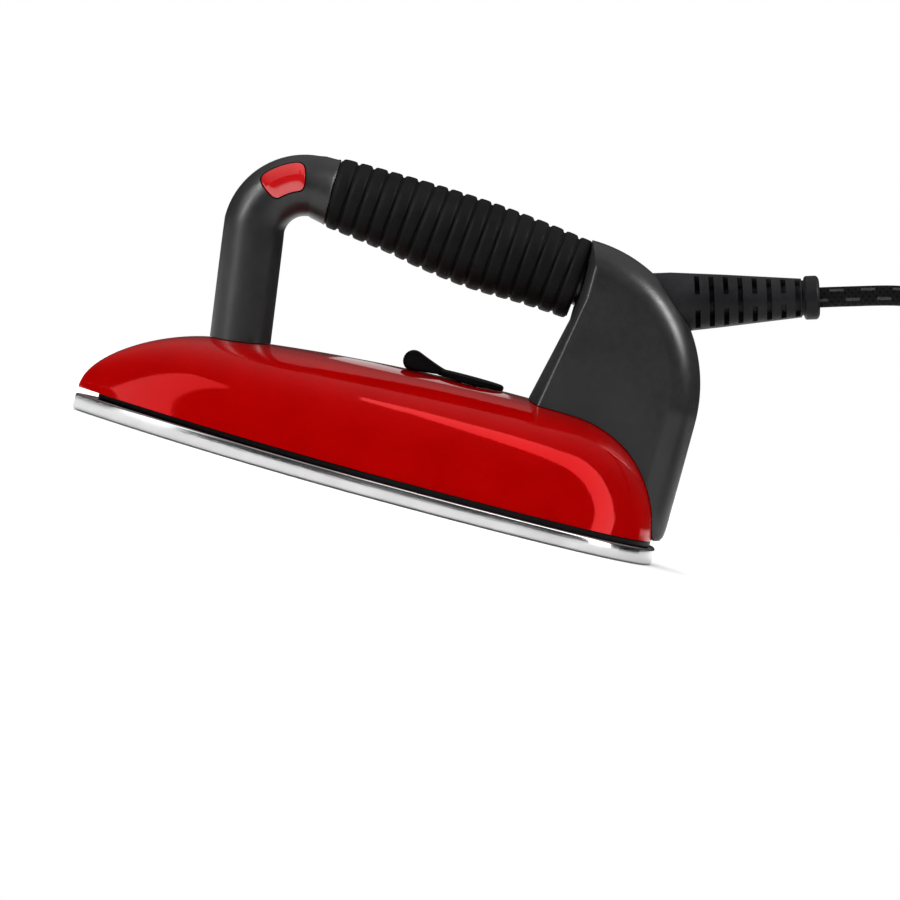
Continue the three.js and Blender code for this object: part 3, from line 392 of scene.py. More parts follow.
class Nodes:
    """Small helper that builds one node material."""

    def __init__(self, name):
        self.material = bpy.data.materials.new(name)
        self.material.use_nodes = True
        self.tree = self.material.node_tree
        self.tree.nodes.clear()
        self.out = self.add("OutputMaterial")
        self.shader = self.add("BsdfPrincipled")
        self.link(self.shader.outputs["BSDF"], self.out.inputs["Surface"])
        self.place = self.add("TexCoord").outputs["Object"]

    def add(self, kind, **settings):
        node = self.tree.nodes.new("ShaderNode" + kind)
        for key, value in settings.items():
            setattr(node, key, value)
        return node

    def link(self, source, target):
        self.tree.links.new(source, target)

    def set(self, socket, value):
        self.shader.inputs[socket].default_value = value

    def noise(self, scale, detail=3.0, stretch=None):
        """Noise in object space; scale is in features per metre."""
        node = self.add("TexNoise")
        node.inputs["Scale"].default_value = scale
        node.inputs["Detail"].default_value = detail
        place = self.place
        if stretch is not None:
            mapping = self.add("Mapping")
            mapping.inputs["Scale"].default_value = stretch
            self.link(place, mapping.inputs["Vector"])
            place = mapping.outputs["Vector"]
        self.link(place, node.inputs["Vector"])
        return node.outputs["Fac"]

    def spread(self, value, low, high, from_low=0.3, from_high=0.7):
        node = self.add("MapRange")
        ends = {"From Min": from_low, "From Max": from_high, "To Min": low, "To Max": high}
        for socket, end in ends.items():
            node.inputs[socket].default_value = end
        self.link(value, node.inputs["Value"])
        return node.outputs["Result"]

    def math(self, operation, a, b=0.0):
        node = self.add("Math", operation=operation)
        for socket, value in zip(node.inputs, (a, b)):
            if isinstance(value, (int, float)):
                socket.default_value = value
            else:
                self.link(value, socket)
        return node.outputs["Value"]

    def mix(self, factor, first, second):
        node = self.add("Mix", data_type="RGBA")
        self.link(factor, node.inputs["Factor"])
        for socket, value in ((node.inputs[6], first), (node.inputs[7], second)):
            if isinstance(value, tuple):
                socket.default_value = (*value, 1.0)
            else:
                self.link(value, socket)
        return node.outputs[2]

    def bump(self, height, distance, strength=1.0):
        """Bump whose distance is in metres."""
        node = self.add("Bump")
        node.inputs["Strength"].default_value = strength
        node.inputs["Distance"].default_value = distance
        self.link(height, node.inputs["Height"])
        self.link(node.outputs["Normal"], self.shader.inputs["Normal"])


def finish_of(name, dark, light, rough, grain, depth, metal=0.0, stretch=None, coat=0.0,
              specular=0.5, tint=(1, 1, 1)):
    """Material with mottled colour, uneven gloss and a fine surface grain."""
    n = Nodes(name)
    colour = n.mix(n.spread(n.noise(60.0, 4.0), 0.0, 1.0), dark, light)
    n.link(colour, n.shader.inputs["Base Color"])
    n.link(n.spread(n.noise(grain * 0.2, 3.0, stretch), *rough), n.shader.inputs["Roughness"])
    n.set("Metallic", metal)
    n.bump(n.noise(grain, 3.0, stretch), depth)
    if coat:
        n.set("Coat Weight", coat)
        n.set("Coat Roughness", 0.05)
    n.set("Specular IOR Level", specular)
    n.set("Specular Tint", (*tint, 1))
    return n.material


CROSSING = 0.0026                   # length of one crossing of the braid, in metres
FLECK_STEP = 0.0118                 # and from one pale fleck to the next in its row


def braid():
    """Black textile braid with two-thread crossings, painted shade in the holes between its
    strands, and pale flecks in staggered rows.
    """
    n = Nodes("cord_braid")
    uv = n.add("TexCoord").outputs["UV"]
    split = n.add("SeparateXYZ")
    n.link(uv, split.inputs[0])
    along_cord, around = split.outputs["X"], split.outputs["Y"]
    strands = []
    for sign in (8.0, -8.0):
        lengthwise = n.math("MULTIPLY", along_cord, 1 / CROSSING)
        phase = n.math("ADD", lengthwise, n.math("MULTIPLY", around, sign))
        strands.append(n.math("ABSOLUTE", n.math("SINE", n.math("MULTIPLY", phase, math.pi))))
    weave = n.math("MAXIMUM", *strands)
    rows = n.math("MULTIPLY", around, 6.0)
    stagger = n.math("MULTIPLY", n.math("MODULO", n.math("FLOOR", rows), 2.0), 0.5)
    step = n.math("ADD", n.math("MULTIPLY", along_cord, 1 / FLECK_STEP), stagger)
    in_row = n.math("ABSOLUTE", n.math("SUBTRACT", n.math("FRACT", rows), 0.5))
    in_step = n.math("LESS_THAN", n.math("FRACT", step), 0.45)
    fleck = n.math("MULTIPLY", in_step, n.math("LESS_THAN", in_row, 0.15))
    worn = n.math("MULTIPLY", fleck, n.spread(n.noise(1400.0), 0.35, 1.0))
    # Thread colour is darker where the weave is low, in the holes between the strands: painted
    # shade.
    thread = n.mix(weave, (0.002, 0.002, 0.002), (0.009, 0.009, 0.0095))
    n.link(n.mix(worn, thread, (0.075, 0.075, 0.078)), n.shader.inputs["Base Color"])
    n.set("Specular IOR Level", 0.08)
    n.link(n.spread(n.noise(900.0), 0.7, 0.95), n.shader.inputs["Roughness"])
    n.bump(weave, 0.00035, 0.9)
    return n.material


BLACK_GRAIN = 1800.0
# Darker and lighter colour, roughness, grain per metre, its depth in metres, what else is set.
FINISHES = {
    "polished_sole": ((0.48, 0.485, 0.49), (0.58, 0.585, 0.59), (0.08, 0.18), 500.0, 0.00001,
                      {"metal": 1.0, "stretch": (0.15, 1.0, 6.0)}),
    "zinc_steel": ((0.42, 0.43, 0.45), (0.58, 0.59, 0.6), (0.28, 0.45), 900.0, 0.00002,
                   {"metal": 1.0}),
    "nickel_pins": ((0.66, 0.65, 0.62), (0.76, 0.75, 0.73), (0.12, 0.24), 900.0, 0.00001,
                    {"metal": 1.0}),
    "brass": ((0.55, 0.4, 0.17), (0.68, 0.52, 0.25), (0.25, 0.4), 900.0, 0.00002,
              {"metal": 1.0}),
    "red_cover": ((0.41, 0.0003, 0.0004), (0.46, 0.0006, 0.0007), (0.04, 0.08), 420.0, 0.000008,
                  {"specular": 1.0, "tint": (1, 0.035, 0.04)}),
    "black_phenolic": ((0.002, 0.002, 0.0025), (0.005, 0.005, 0.006), (0.4, 0.55), BLACK_GRAIN,
                       0.00003, {"specular": 0.12}),
    "grey_handle": ((0.007, 0.0071, 0.0074), (0.011, 0.0111, 0.0114), (0.31, 0.38), BLACK_GRAIN,
                    0.00002, {"specular": 0.38}),
    "grip_rubber": ((0.0015, 0.0015, 0.0017), (0.004, 0.004, 0.0043), (0.5, 0.68), BLACK_GRAIN,
                    0.00005, {"specular": 0.07}),
    "relief_rubber": ((0.004, 0.004, 0.0045), (0.009, 0.009, 0.01), (0.38, 0.52), BLACK_GRAIN,
                      0.00004, {"specular": 0.12}),
    "tie_plastic": ((0.012, 0.012, 0.013), (0.03, 0.03, 0.031), (0.55, 0.75), 1500.0, 0.0001, {}),
    "ceramic": ((0.62, 0.58, 0.48), (0.75, 0.72, 0.64), (0.45, 0.65), 1200.0, 0.00004, {}),
    "wire_brown": ((0.10, 0.035, 0.015), (0.15, 0.06, 0.028), (0.4, 0.55), 1500.0, 0.00002, {}),
    "wire_blue": ((0.015, 0.045, 0.24), (0.03, 0.075, 0.32), (0.4, 0.55), 1500.0, 0.00002, {}),
    "wire_green": ((0.07, 0.24, 0.04), (0.24, 0.35, 0.03), (0.4, 0.55), 300.0, 0.00002, {}),
    "wire_white": ((0.6, 0.6, 0.57), (0.72, 0.72, 0.7), (0.4, 0.55), 1500.0, 0.00002, {}),
    "red_lens": ((0.60, 0.002, 0.004), (0.70, 0.004, 0.006), (0.1, 0.18), 700.0, 0.00001,
                 {"coat": 1.0}),
    "lamp_glass": ((0.6, 0.42, 0.3), (0.72, 0.55, 0.42), (0.08, 0.15), 900.0, 0.00001, {}),
}
MATERIALS = {"cord_braid": braid()}
for slot, (*plain, special) in FINISHES.items():
    MATERIALS[slot] = finish_of(slot, *plain, **special)

SLOT_OF = {part["node"]: part["material_slot"] for part in frame["record"]["subparts"]}


def dress(piece, slot):
    piece.data.materials.clear()
    piece.data.materials.append(MATERIALS[slot])


def stands_for(piece, *nodes, body="iron"):
    """Gives a new piece its body, the nodes it replaces and their finish."""
    dress(piece, SLOT_OF[nodes[0]])
    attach(piece, body)
    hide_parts(*nodes)
    return piece


for node_name, node_object in frame["nodes"].items():
    dress(node_object, SLOT_OF[node_name])


# ---- plug, its lead and its tie

PLUG_START = Vector(TAIL_ROUTE[-2])
PLUG_HEADING = math.radians(45.0)
PLUG_RADIUS = 18.5


def about_plug_axis(name, profile, sides, offset=0.0):
    """Body of revolution about the plug's level axis."""
    ahead = Vector((math.cos(PLUG_HEADING), math.sin(PLUG_HEADING), 0.0))
    side = Vector((-math.sin(PLUG_HEADING), math.cos(PLUG_HEADING), 0.0))
    return spun(name, profile, lambda d, u, v: (
        PLUG_START + ahead * d + (side * (v + offset) + Vector((0, 0, u)))
    ), sides)


def grooves(count, first, step, growth, stations):
    """The same few (distance, radius) stations again and again along an axis."""
    return [
        (first + step * i + d, radius + growth * i) for i in range(count) for d, radius in stations
    ]


def make_plug():
    sleeve = [(0.5, 5.0), (1.2, 5.6)]
    sleeve += grooves(4, 2.4, 2.1, 0.1, ((0, 5.7), (0.3, 5.1), (0.9, 5.1), (1.2, 5.8)))
    shoulder = [(11, 6.6), (13, 8.0), (15, 11.2), (16.6, 14.2), (18, 16.2), (19.5, 17.6),
                (21, 18.3), (22.5, PLUG_RADIUS)]
    sunk = PLUG_RADIUS - 0.7
    grip = grooves(5, 24.5, 2.6, 0, (
        (0, PLUG_RADIUS), (0.3, sunk), (1.0, sunk), (1.3, PLUG_RADIUS),
    ))
    face = [(40, PLUG_RADIUS), (40.6, PLUG_RADIUS - 0.3), (41, PLUG_RADIUS - 1),
            (41, 15.5), (39.8, 15.0), (39.8, 4.0)]
    body = about_plug_axis("plug_moulding", sleeve + shoulder + grip + face, 64)
    pieces = [stands_for(body, "plug_body")]
    profile = [(34.3, 2.4), (58.2, 2.4), (59.2, 2.1), (59.8, 1.6), (60, 0.9)]
    for number, side in ((1, -1), (2, 1)):
        pin = about_plug_axis(f"plug_contact_{number}", profile, 28, side * 9.5)
        pieces.append(stands_for(pin, f"plug_pin_{number}"))
    return pieces


def make_tie():
    """Hook-and-loop strap over one place of the coil."""
    half_width = 1.5 * COIL_PITCH + 0.6
    top = COIL_LAYERS[1] + CORD_RADIUS + 0.3
    low = 0.15
    centre = [(-half_width - 0.4, low), (-half_width - 0.4, top - 3.4)]
    for side, first in ((-1, math.pi), (1, math.pi / 2)):
        for turn in quarter(6):
            a = first - turn
            centre.append((
                side * (half_width - 3.2) + 3.6 * math.cos(a), top - 3.2 + 3.6 * math.sin(a),
            ))
    centre += [(half_width + 0.4, top - 3.4), (half_width + 0.4, low)]
    rings = []
    for i, (y, z) in enumerate(centre):
        before = centre[max(i - 1, 0)]
        after = centre[min(i + 1, len(centre) - 1)]
        along_y, along_z = after[0] - before[0], after[1] - before[1]
        size = math.hypot(along_y, along_z)
        out = (-along_z / size, along_y / size)
        ring = []
        for x, lift in ((-4, 0.2), (-3.7, 0), (3.7, 0), (4, 0.2), (4, 0.8), (3.6, 1.1),
                        (-3.6, 1.1), (-4, 0.8)):
            ring.append(Vector((
                COIL_X + x, COIL_RADIUS + y + out[0] * lift, max(low, z + out[1] * lift),
            )))
        rings.append(ring)
    return stands_for(loft("lead_tie", rings), "cord_tie")


plug_pieces = make_plug()
lead_tie = make_tie()
stands_for(mains_lead, "power_cord", "cord_coil", "cord_tail")


# ---- plan and cover forms

WIDEST_AT = 0.52
SOLE_HALF_WIDTH = (sole_high.y - sole_low.y) / 2
SOLE_THICK = 6.2
COVER_HALF_WIDTH = SOLE_HALF_WIDTH - 3
COVER_BASE = 8.5
COVER_TOP = 48.0
COVER_WALL = 2.0
COVER_NOSE = NOSE_X + 0.2
COVER_TAIL = TAIL_X - 2.1
NOSE_ROUND = along(0.211) - COVER_NOSE
TAIL_ROUND = COVER_TAIL - along(0.811)


def plan_half_width(x, nose, tail, half_width):
    """Half width of a plan: a pointed arch at the nose and a full round tail."""
    widest = nose + WIDEST_AT * (tail - nose)
    if x < widest:
        u = max(0.0, (x - nose) / (widest - nose))
        return half_width * (1 - (1 - u) ** 1.8) ** 0.9
    u = min(1.0, (x - widest) / (tail - widest))
    return half_width * (1 - u ** 2.3) ** (1 / 2.3)


def plan_outline(nose, tail, half_width, steps=96):
    side = []
    for i in range(1, steps):
        x = (nose + tail) / 2 - (tail - nose) / 2 * math.cos(math.pi * i / steps)
        side.append((x, plan_half_width(x, nose, tail, half_width)))
    back = [(x, -y) for x, y in reversed(side)]
    return [(nose, 0.0), *side, (tail, 0.0), *back]


def plan_loft(name, stations, nose, tail, half_width):
    """Plate drawn in plan, from (height, inset) pairs."""
    rings = []
    for z, inset in stations:
        outline = plan_outline(nose + inset, tail - inset, half_width - inset)
        rings.append([Vector((x, y, z)) for x, y in outline])
    return loft(name, rings)


def crown_height(x):
    flat = along(0.722)
    fall = 7.2 * ((flat - x) / (0.489 * SOLE_LENGTH)) ** 2 if x < flat else 0.0
    return COVER_TOP - fall


ARCH = 2 / 2.8                      # power of sine and cosine that draws the cover's full arch


def cover_section(x, nose, tail, half_width, grow):
    """Half width and height of the cover's arch at a place along it."""
    front = max(0.0, (nose + NOSE_ROUND - x) / NOSE_ROUND)
    rear = max(0.0, (x - (tail - TAIL_ROUND)) / TAIL_ROUND)
    ends = math.sqrt(1 - min(1.0, front) ** 2) * math.sqrt(1 - min(1.0, rear) ** 2)
    height = (crown_height(x) + grow - COVER_BASE) * ends
    return plan_half_width(x, nose, tail, half_width), height


def cover_form(name, grow, drop=0.0, stations=110, sides=72, lip=0.0):
    """The cover's filled outer form, grown by a distance; a negative one gives its hollow."""
    nose = COVER_NOSE - 1.6 * grow
    tail = COVER_TAIL + grow
    half_width = COVER_HALF_WIDTH + grow
    rings = []
    for i in range(stations + 1):
        a = 0.06 + (math.pi - 0.12) * i / stations
        reach = math.cos(a) / math.cos(0.06)
        x = (nose + tail) / 2 - (tail - nose) / 2 * reach * 0.9995
        width, height = cover_section(x, nose, tail, half_width, grow)
        ring = []
        for j in range(sides + 1):
            t = math.pi * j / sides
            side = math.copysign(abs(math.cos(t)) ** ARCH, math.cos(t))
            z = COVER_BASE + height * math.sin(t) ** ARCH
            flare = lip * max(0.0, 1 - ((z - COVER_BASE - 0.6) / 0.9) ** 2) if lip else 0.0
            ring.append(Vector((x, (width + flare) * side, z)))
        if drop > 0:
            ring.append(Vector((x, -width, COVER_BASE - drop)))
            ring.append(Vector((x, width, COVER_BASE - drop)))
        rings.append(ring)
    return loft(name, rings)


# ---- sole, skirt and cover

HEATER_PATH = [(along(share), y) for share, y in (
    (0.81, -24), (0.6, -28), (0.42, -24), (0.28, -13), (0.23, 0), (0.28, 13), (0.42, 24),
    (0.6, 28), (0.81, 24),
)]
LEVER_X = along(0.629)
POST_X = along(0.242)
STUD_X = along(0.868)
WIRE_X = along(0.913)
NOSE_CLIP_X = along(0.133)
STACK_X = along(0.72)


def make_sole():
    stations = [(1.3 - 1.3 * math.cos(a), 1.3 - 1.3 * math.sin(a)) for a in quarter(6)]
    stations += [
        (SOLE_THICK - 0.8 + 0.8 * math.sin(a), 0.8 - 0.8 * math.cos(a)) for a in quarter(5)
    ]
    sole = plan_loft("sole_plate", stations, NOSE_X, TAIL_X, SOLE_HALF_WIDTH)
    path = smooth_path([(x, y, 0.0) for x, y in HEATER_PATH], 4.0)
    rings = []
    section = ((-6, 5.4), (6, 5.4), (5.7, 10.6), (3.5, 10.6), (3.5, 7.0), (-3.5, 7.0),
               (-3.5, 10.6), (-5.7, 10.6))
    for centre, ahead in zip(path, directions(path)):
        side = Vector((-ahead.y, ahead.x, 0.0))
        rings.append([centre + side * across + Vector((0, 0, z)) for across, z in section])
    ridge = loft("heater_ridge", rings)
    pad = fine_block("stack_pad", LEVER_X - 19, STACK_X + 8, -12, 12, 5.4, 8.0)
    nose_pad = fine_block("nose_pad", NOSE_CLIP_X - 2, NOSE_CLIP_X + 10, -6, 6, 5.4, 8.0)
    bosses = [
        turned_upright(f"stud_boss_{i}", STUD_X, y, [(5.4, 6.0), (13.6, 5.8), (13.8, 5.5)])
        for i, y in enumerate((-11, 11))
    ]
    earth = turned_upright("earth_boss", along(0.93), 0, [(5.4, 4.2), (9.8, 4.0), (10, 3.8)])
    for extra in (ridge, pad, nose_pad, *bosses, earth):
        combine(sole, extra, "UNION")
    holes = [(STUD_X, -11, 2.9), (STUD_X, 11, 2.9), (STACK_X, 0, 2.0), (NOSE_CLIP_X + 5.5, 0, 1.9)]
    drill(sole, holes, 4, 20, 24)
    return sole


def fine_block(name, x0, x1, y0, y1, z0, z1, chamfer=0.4):
    """Block whose upright and upper edges are chamfered."""
    def corner_ring(inset, z):
        c = chamfer
        a0, a1, b0, b1 = x0 + inset, x1 - inset, y0 + inset, y1 - inset
        return [Vector((x, y, z)) for x, y in (
            (a0 + c, b0), (a1 - c, b0), (a1, b0 + c), (a1, b1 - c),
            (a1 - c, b1), (a0 + c, b1), (a0, b1 - c), (a0, b0 + c),
        )]
    rings = [corner_ring(0, z0), corner_ring(0, z1 - chamfer), corner_ring(chamfer, z1)]
    return loft(name, rings, 20.0)


def make_skirt():
    nose, tail, half = NOSE_X + 8.5, TAIL_X - 2.4, SOLE_HALF_WIDTH - 2.6
    low, high = skirt_low.z - 0.2, skirt_high.z + 0.2
    outer = plan_outline(nose, tail, half)
    outer_in = plan_outline(nose + 0.3, tail - 0.3, half - 0.3)
    inner = plan_outline(NOSE_X + 17, TAIL_X - 9, SOLE_HALF_WIDTH - 10)
    rings = [
        [Vector((x, y, z)) for x, y in outline]
        for outline, z in ((outer_in, low), (outer, low + 0.3), (outer, high - 0.3),
                           (outer_in, high), (inner, high), (inner, low))
    ]
    return loft("heat_skirt", rings, closed=True)


def make_cover():
    cover = cover_form("cover", 0.0, lip=0.35)
    combine(cover, cover_form("cover_hollow", -COVER_WALL, 4.0, 60, 40))
    dish = turned_upright("dish", LEVER_X, 0, [
        (COVER_TOP - 0.6, 13.0), (COVER_TOP - 0.5, 13.4), (COVER_TOP - 0.25, 13.65),
        (COVER_TOP + 0.1, 14.2), (COVER_TOP + 3, 14.2),
    ], 96)
    combine(cover, dish)
    holes = [(LEVER_X, 0, 5.5), (POST_X, 0, 2.9), (STUD_X, -11, 2.9), (STUD_X, 11, 2.9),
             (WIRE_X, 0, 5.0)]
    drill(cover, holes, 20, 60, 32)
    return cover


sole = stands_for(make_sole(), "soleplate")
stands_for(make_skirt(), "heat_shield_skirt")
cover = stands_for(make_cover(), "cover_shell")


# ---- handle

GRIP_TOP = 116.5
GRIP_RADIUS = 16.75
GRIP_FRONT = along(0.329)
GRIP_REAR = along(0.762)
GRIP_LENGTH = GRIP_REAR - GRIP_FRONT
POST_RADIUS = 11.5
BEND_RADIUS = 19.5
BEND_X = POST_X - 6 + BEND_RADIUS
BEND_Z = GRIP_TOP - 32
CORE_RADIUS = 9.5
CORE_END = GRIP_REAR + 8.3
GRIP_STATIONS = [(at, GRIP_TOP - drop, share) for at, drop, share in (
    (-0.04, 13, 0.776), (0.04, 13.1, 0.806), (0.3, 14.9, 0.905), (0.4, 16, 0.955),
    (0.6, 17.75, 1), (0.81, 19, 0.955), (1.0, 20.75, 0.91), (1.1, 21.6, 0.9),
)]


def grip_curve(at, column):
    """Smooth value between the stations, by Hermite pieces with finite-difference slopes."""
    stations = GRIP_STATIONS
    last = len(stations) - 1
    i = 0
    while i < last - 1 and at > stations[i + 1][0]:
        i += 1

    def slope(k):
        a, b = max(k - 1, 0), min(k + 1, last)
        return (stations[b][column] - stations[a][column]) / (stations[b][0] - stations[a][0])

    h = stations[i + 1][0] - stations[i][0]
    t = (at - stations[i][0]) / h
    return (
        (2 * t ** 3 - 3 * t ** 2 + 1) * stations[i][column]
        + (t ** 3 - 2 * t ** 2 + t) * (slope(i) * h)
        + (-2 * t ** 3 + 3 * t ** 2) * stations[i + 1][column]
        + (t ** 3 - t ** 2) * (slope(i + 1) * h)
    )


def grip_at(x):
    """Height, radius and heading of the grip's middle line."""
    at = (x - GRIP_FRONT) / GRIP_LENGTH
    z = grip_curve(at, 1)
    ahead = grip_curve(at + 0.5 / GRIP_LENGTH, 1)
    return z, grip_curve(at, 2) * GRIP_RADIUS, math.atan2(ahead - z, 0.5)


def handle_line():
    """Centreline of the handle: up the post, round the bend and back inside the grip."""
    base = crown_height(POST_X)
    lean = math.atan2(6, BEND_Z - base)
    line = []
    for i in range(15):
        z = base - 7 + (BEND_Z - base + 7) * i / 14
        heading = math.pi / 2 + lean * (1 - (i / 14) ** 6)
        line.append((POST_X - (z - base) * math.tan(lean), z, heading))
    for i in range(1, 21):
        a = math.pi - math.pi / 2 * i / 20
        line.append((BEND_X + BEND_RADIUS * math.cos(a), BEND_Z + BEND_RADIUS * math.sin(a),
                     a - math.pi / 2))
    return line


def make_handle():
    rings = [ring_across(x, z, heading, POST_RADIUS, 56) for x, z, heading in handle_line()]
    rings[-1] = ring_across(*handle_line()[-1], POST_RADIUS + 0.35, 56)
    front = GRIP_FRONT - 0.25
    collar = [(front - 1.2, 12.35), (front - 0.5, 12.6), (front - 0.15, 12.45), (front, 12.0),
              (front + 0.1, 9.5)]
    core = [(GRIP_FRONT + GRIP_LENGTH * i / 12, CORE_RADIUS) for i in range(1, 13)]
    flange = [(GRIP_REAR + 2.2, CORE_RADIUS), (GRIP_REAR + 2.3, 12.0), (CORE_END, 12.0)]
    for x, radius in (*collar, *core, *flange):
        z, _, heading = grip_at(x)
        rings.append(ring_across(x, z, heading, radius, 56))
    handle = loft("handle", rings)
    combine(handle, cover_form("cover_clear", 0.3, stations=60, sides=36))
    combine(handle, lens_form("lens_pocket", 9.9, 15.0, 0.55))
    base = crown_height(POST_X)
    bore = turned_upright("insert_bore", POST_X, 0, [(base - 9, 4.8), (base + 17, 4.8)], 24)
    combine(handle, bore)
    return handle


LENS_FROM, LENS_TO = math.radians(103.5), math.radians(143.0)
LENS_LOW, LENS_HIGH, LENS_RIDGE = math.radians(-10.0), math.radians(48.0), math.radians(19.0)


def lens_form(name, inner, outer, grow=0.0, faceted=False):
    """Pad on the near side of the bend: rounded ends, straight sides, an optional ridge."""
    mid = (LENS_LOW + LENS_HIGH) / 2
    edge = grow / POST_RADIUS
    end_grow = grow / (BEND_RADIUS + POST_RADIUS)
    start, end = LENS_FROM - end_grow, LENS_TO + end_grow
    rings = []
    steps = 24
    for i in range(steps + 1):
        u = i / steps
        a = start + (end - start) * (1 - math.cos(math.pi * u)) / 2
        near_end = abs(2 * (a - start) / (end - start) - 1)
        pinch = max(0.02, 1 - max(0.0, (near_end - 0.5) / 0.5) ** 3.0) ** 0.42
        high = mid + (LENS_HIGH + edge - mid) * pinch
        low = mid + (LENS_LOW - edge - mid) * pinch ** 0.7
        ridge = low + (high - low) * (LENS_RIDGE - LENS_LOW) / (LENS_HIGH - LENS_LOW)
        ring = []
        for j in range(13):
            b = low + (high - low) * j / 12
            radius = outer
            if faceted:
                rise = (b - low) / (ridge - low) if b < ridge else (high - b) / (high - ridge)
                rise = min(1.0, max(0.0, rise))
                radius = POST_RADIUS + (outer - POST_RADIUS) * rise ** 0.8 * pinch
            ring.append((radius * math.sin(b), -radius * math.cos(b)))
        ring.append((inner * math.sin(high), -inner * math.cos(high)))
        ring.append((inner * math.sin(low), -inner * math.cos(low)))
        rings.append([
            Vector((
                BEND_X + (BEND_RADIUS + radial) * math.cos(a), y,
                BEND_Z + (BEND_RADIUS + radial) * math.sin(a),
            ))
            for radial, y in ring
        ])
    return loft(name, rings, 14.0 if faceted else 35.0)


def make_grip():
    pitch = GRIP_LENGTH / 17
    rings = []

    def add_ring(x, sink):
        z, radius, heading = grip_at(x)
        rings.append(ring_across(x, z, heading, radius - sink, 72))

    rib = ((0.0, 1.05), (0.05, 1.0), (0.09, 0.6), (0.14, 0.22), (0.24, 0.04), (0.4, 0.0),
           (0.6, 0.0), (0.76, 0.04), (0.86, 0.22), (0.91, 0.6), (0.95, 1.0))
    for i in range(17):
        for at, sink in rib:
            add_ring(GRIP_FRONT + i * pitch + at * pitch, sink)
    add_ring(GRIP_REAR, 1.05)
    grip = loft("grip", rings, 50.0)
    core = []
    for i in range(14):
        x = GRIP_FRONT - 3 + (GRIP_LENGTH + 6) * i / 13
        z, _, heading = grip_at(x)
        core.append(ring_across(x, z, heading, CORE_RADIUS + 0.3, 48))
    combine(grip, loft("grip_core", core), smooth_angle=50.0)
    return grip


handle = stands_for(make_handle(), "handle_tube")
stands_for(lens_form("pilot_lens", 10.2, 13.3, faceted=True), "pilot_lamp_lens")
grip = stands_for(make_grip(), "grip_sleeve")


# ---- rear housing

HOUSING_WIDTH = (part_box("rear_housing_right")[1][1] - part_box("rear_housing_left")[0][1]) / MM
HOUSING_X = along(0.767)
HOUSING_SIDE_Z = 55.0
HOUSING_TOP = GRIP_TOP - 5
HOUSING_WALL = 2.5
HOUSING_CORNER = 15.0            # how far the rounding of each side reaches inwards
HOUSING_ROUND = 12.0             # and how far it reaches in from the outline
NUT_SEAT = COVER_TOP + 3
SCREWS = {
    "upper": (along(0.915), HOUSING_TOP - 37.5, HOUSING_WIDTH / 2 - 0.9),
    "lower": (along(0.967), COVER_TOP - 5, HOUSING_WIDTH / 2 - 6.2),
}


def housing_outline(inset, arc_steps=40, front_share=1.0):
    """Housing seen from the side, moved inwards by inset, or a share of it at the front."""
    radius_x = HEEL_X - HOUSING_X - inset
    radius_z = HOUSING_TOP - HOUSING_SIDE_Z - inset
    z, radius, _ = grip_at(GRIP_REAR)
    front = GRIP_REAR + 0.3 + inset * front_share
    foot = front - 7.5
    points = [
        (front, z - radius + inset), (foot, COVER_TOP - 1), (foot + 2, COVER_TOP - 20),
        (TAIL_X - 14, COVER_BASE + 0.2 + inset),
    ]
    for back, up in ((3.2, 0.2), (1.4, 0.7), (0.4, 2.4), (0, 5.5)):
        points.append((HEEL_X - back - inset, COVER_BASE + up + inset))
    last = min(math.radians(88), math.acos((front + 1.6 - HOUSING_X) / radius_x))
    for i in range(arc_steps + 1):
        a = last * i / arc_steps
        points.append((
            HOUSING_X + radius_x * math.cos(a), HOUSING_SIDE_Z + radius_z * math.sin(a),
        ))
    points.append((front + 0.4, HOUSING_TOP - inset))
    return points


RELIEF_END = (HEEL_X + 32.5, GRIP_TOP - 3.7)
RELIEF_HEADING = math.radians(17.1)
RELIEF_ROOT_RADIUS = 11.3
RELIEF_LENGTH = 66


def relief_at(distance):
    return (
        RELIEF_END[0] - distance * math.cos(RELIEF_HEADING),
        RELIEF_END[1] - distance * math.sin(RELIEF_HEADING),
    )


def narrowing(x, z):
    """Share of the housing's width left towards its heel."""
    back = min(1.0, max(0.0, (x - TAIL_X + 26) / 26))
    down = min(1.0, max(0.0, (58 - z) / 30))
    return 1 - 0.3 * back * back * down


def half_slab(name, side):
    """Half of the housing on one side of the middle plane, with a chamfered parting edge."""
    flat_to = HOUSING_WIDTH / 2 - HOUSING_CORNER
    stations = [(0.15, 0.45), (0.6, 0.0)] + [
        (flat_to + HOUSING_CORNER * math.sin(a), HOUSING_ROUND * (1 - math.cos(a)))
        for a in quarter(14)
    ]
    rings = [
        [Vector((x, side * y * narrowing(x, z), z)) for x, z in housing_outline(inset, 40, 0.4)]
        for y, inset in stations
    ]
    return loft(name, rings, 30.0)


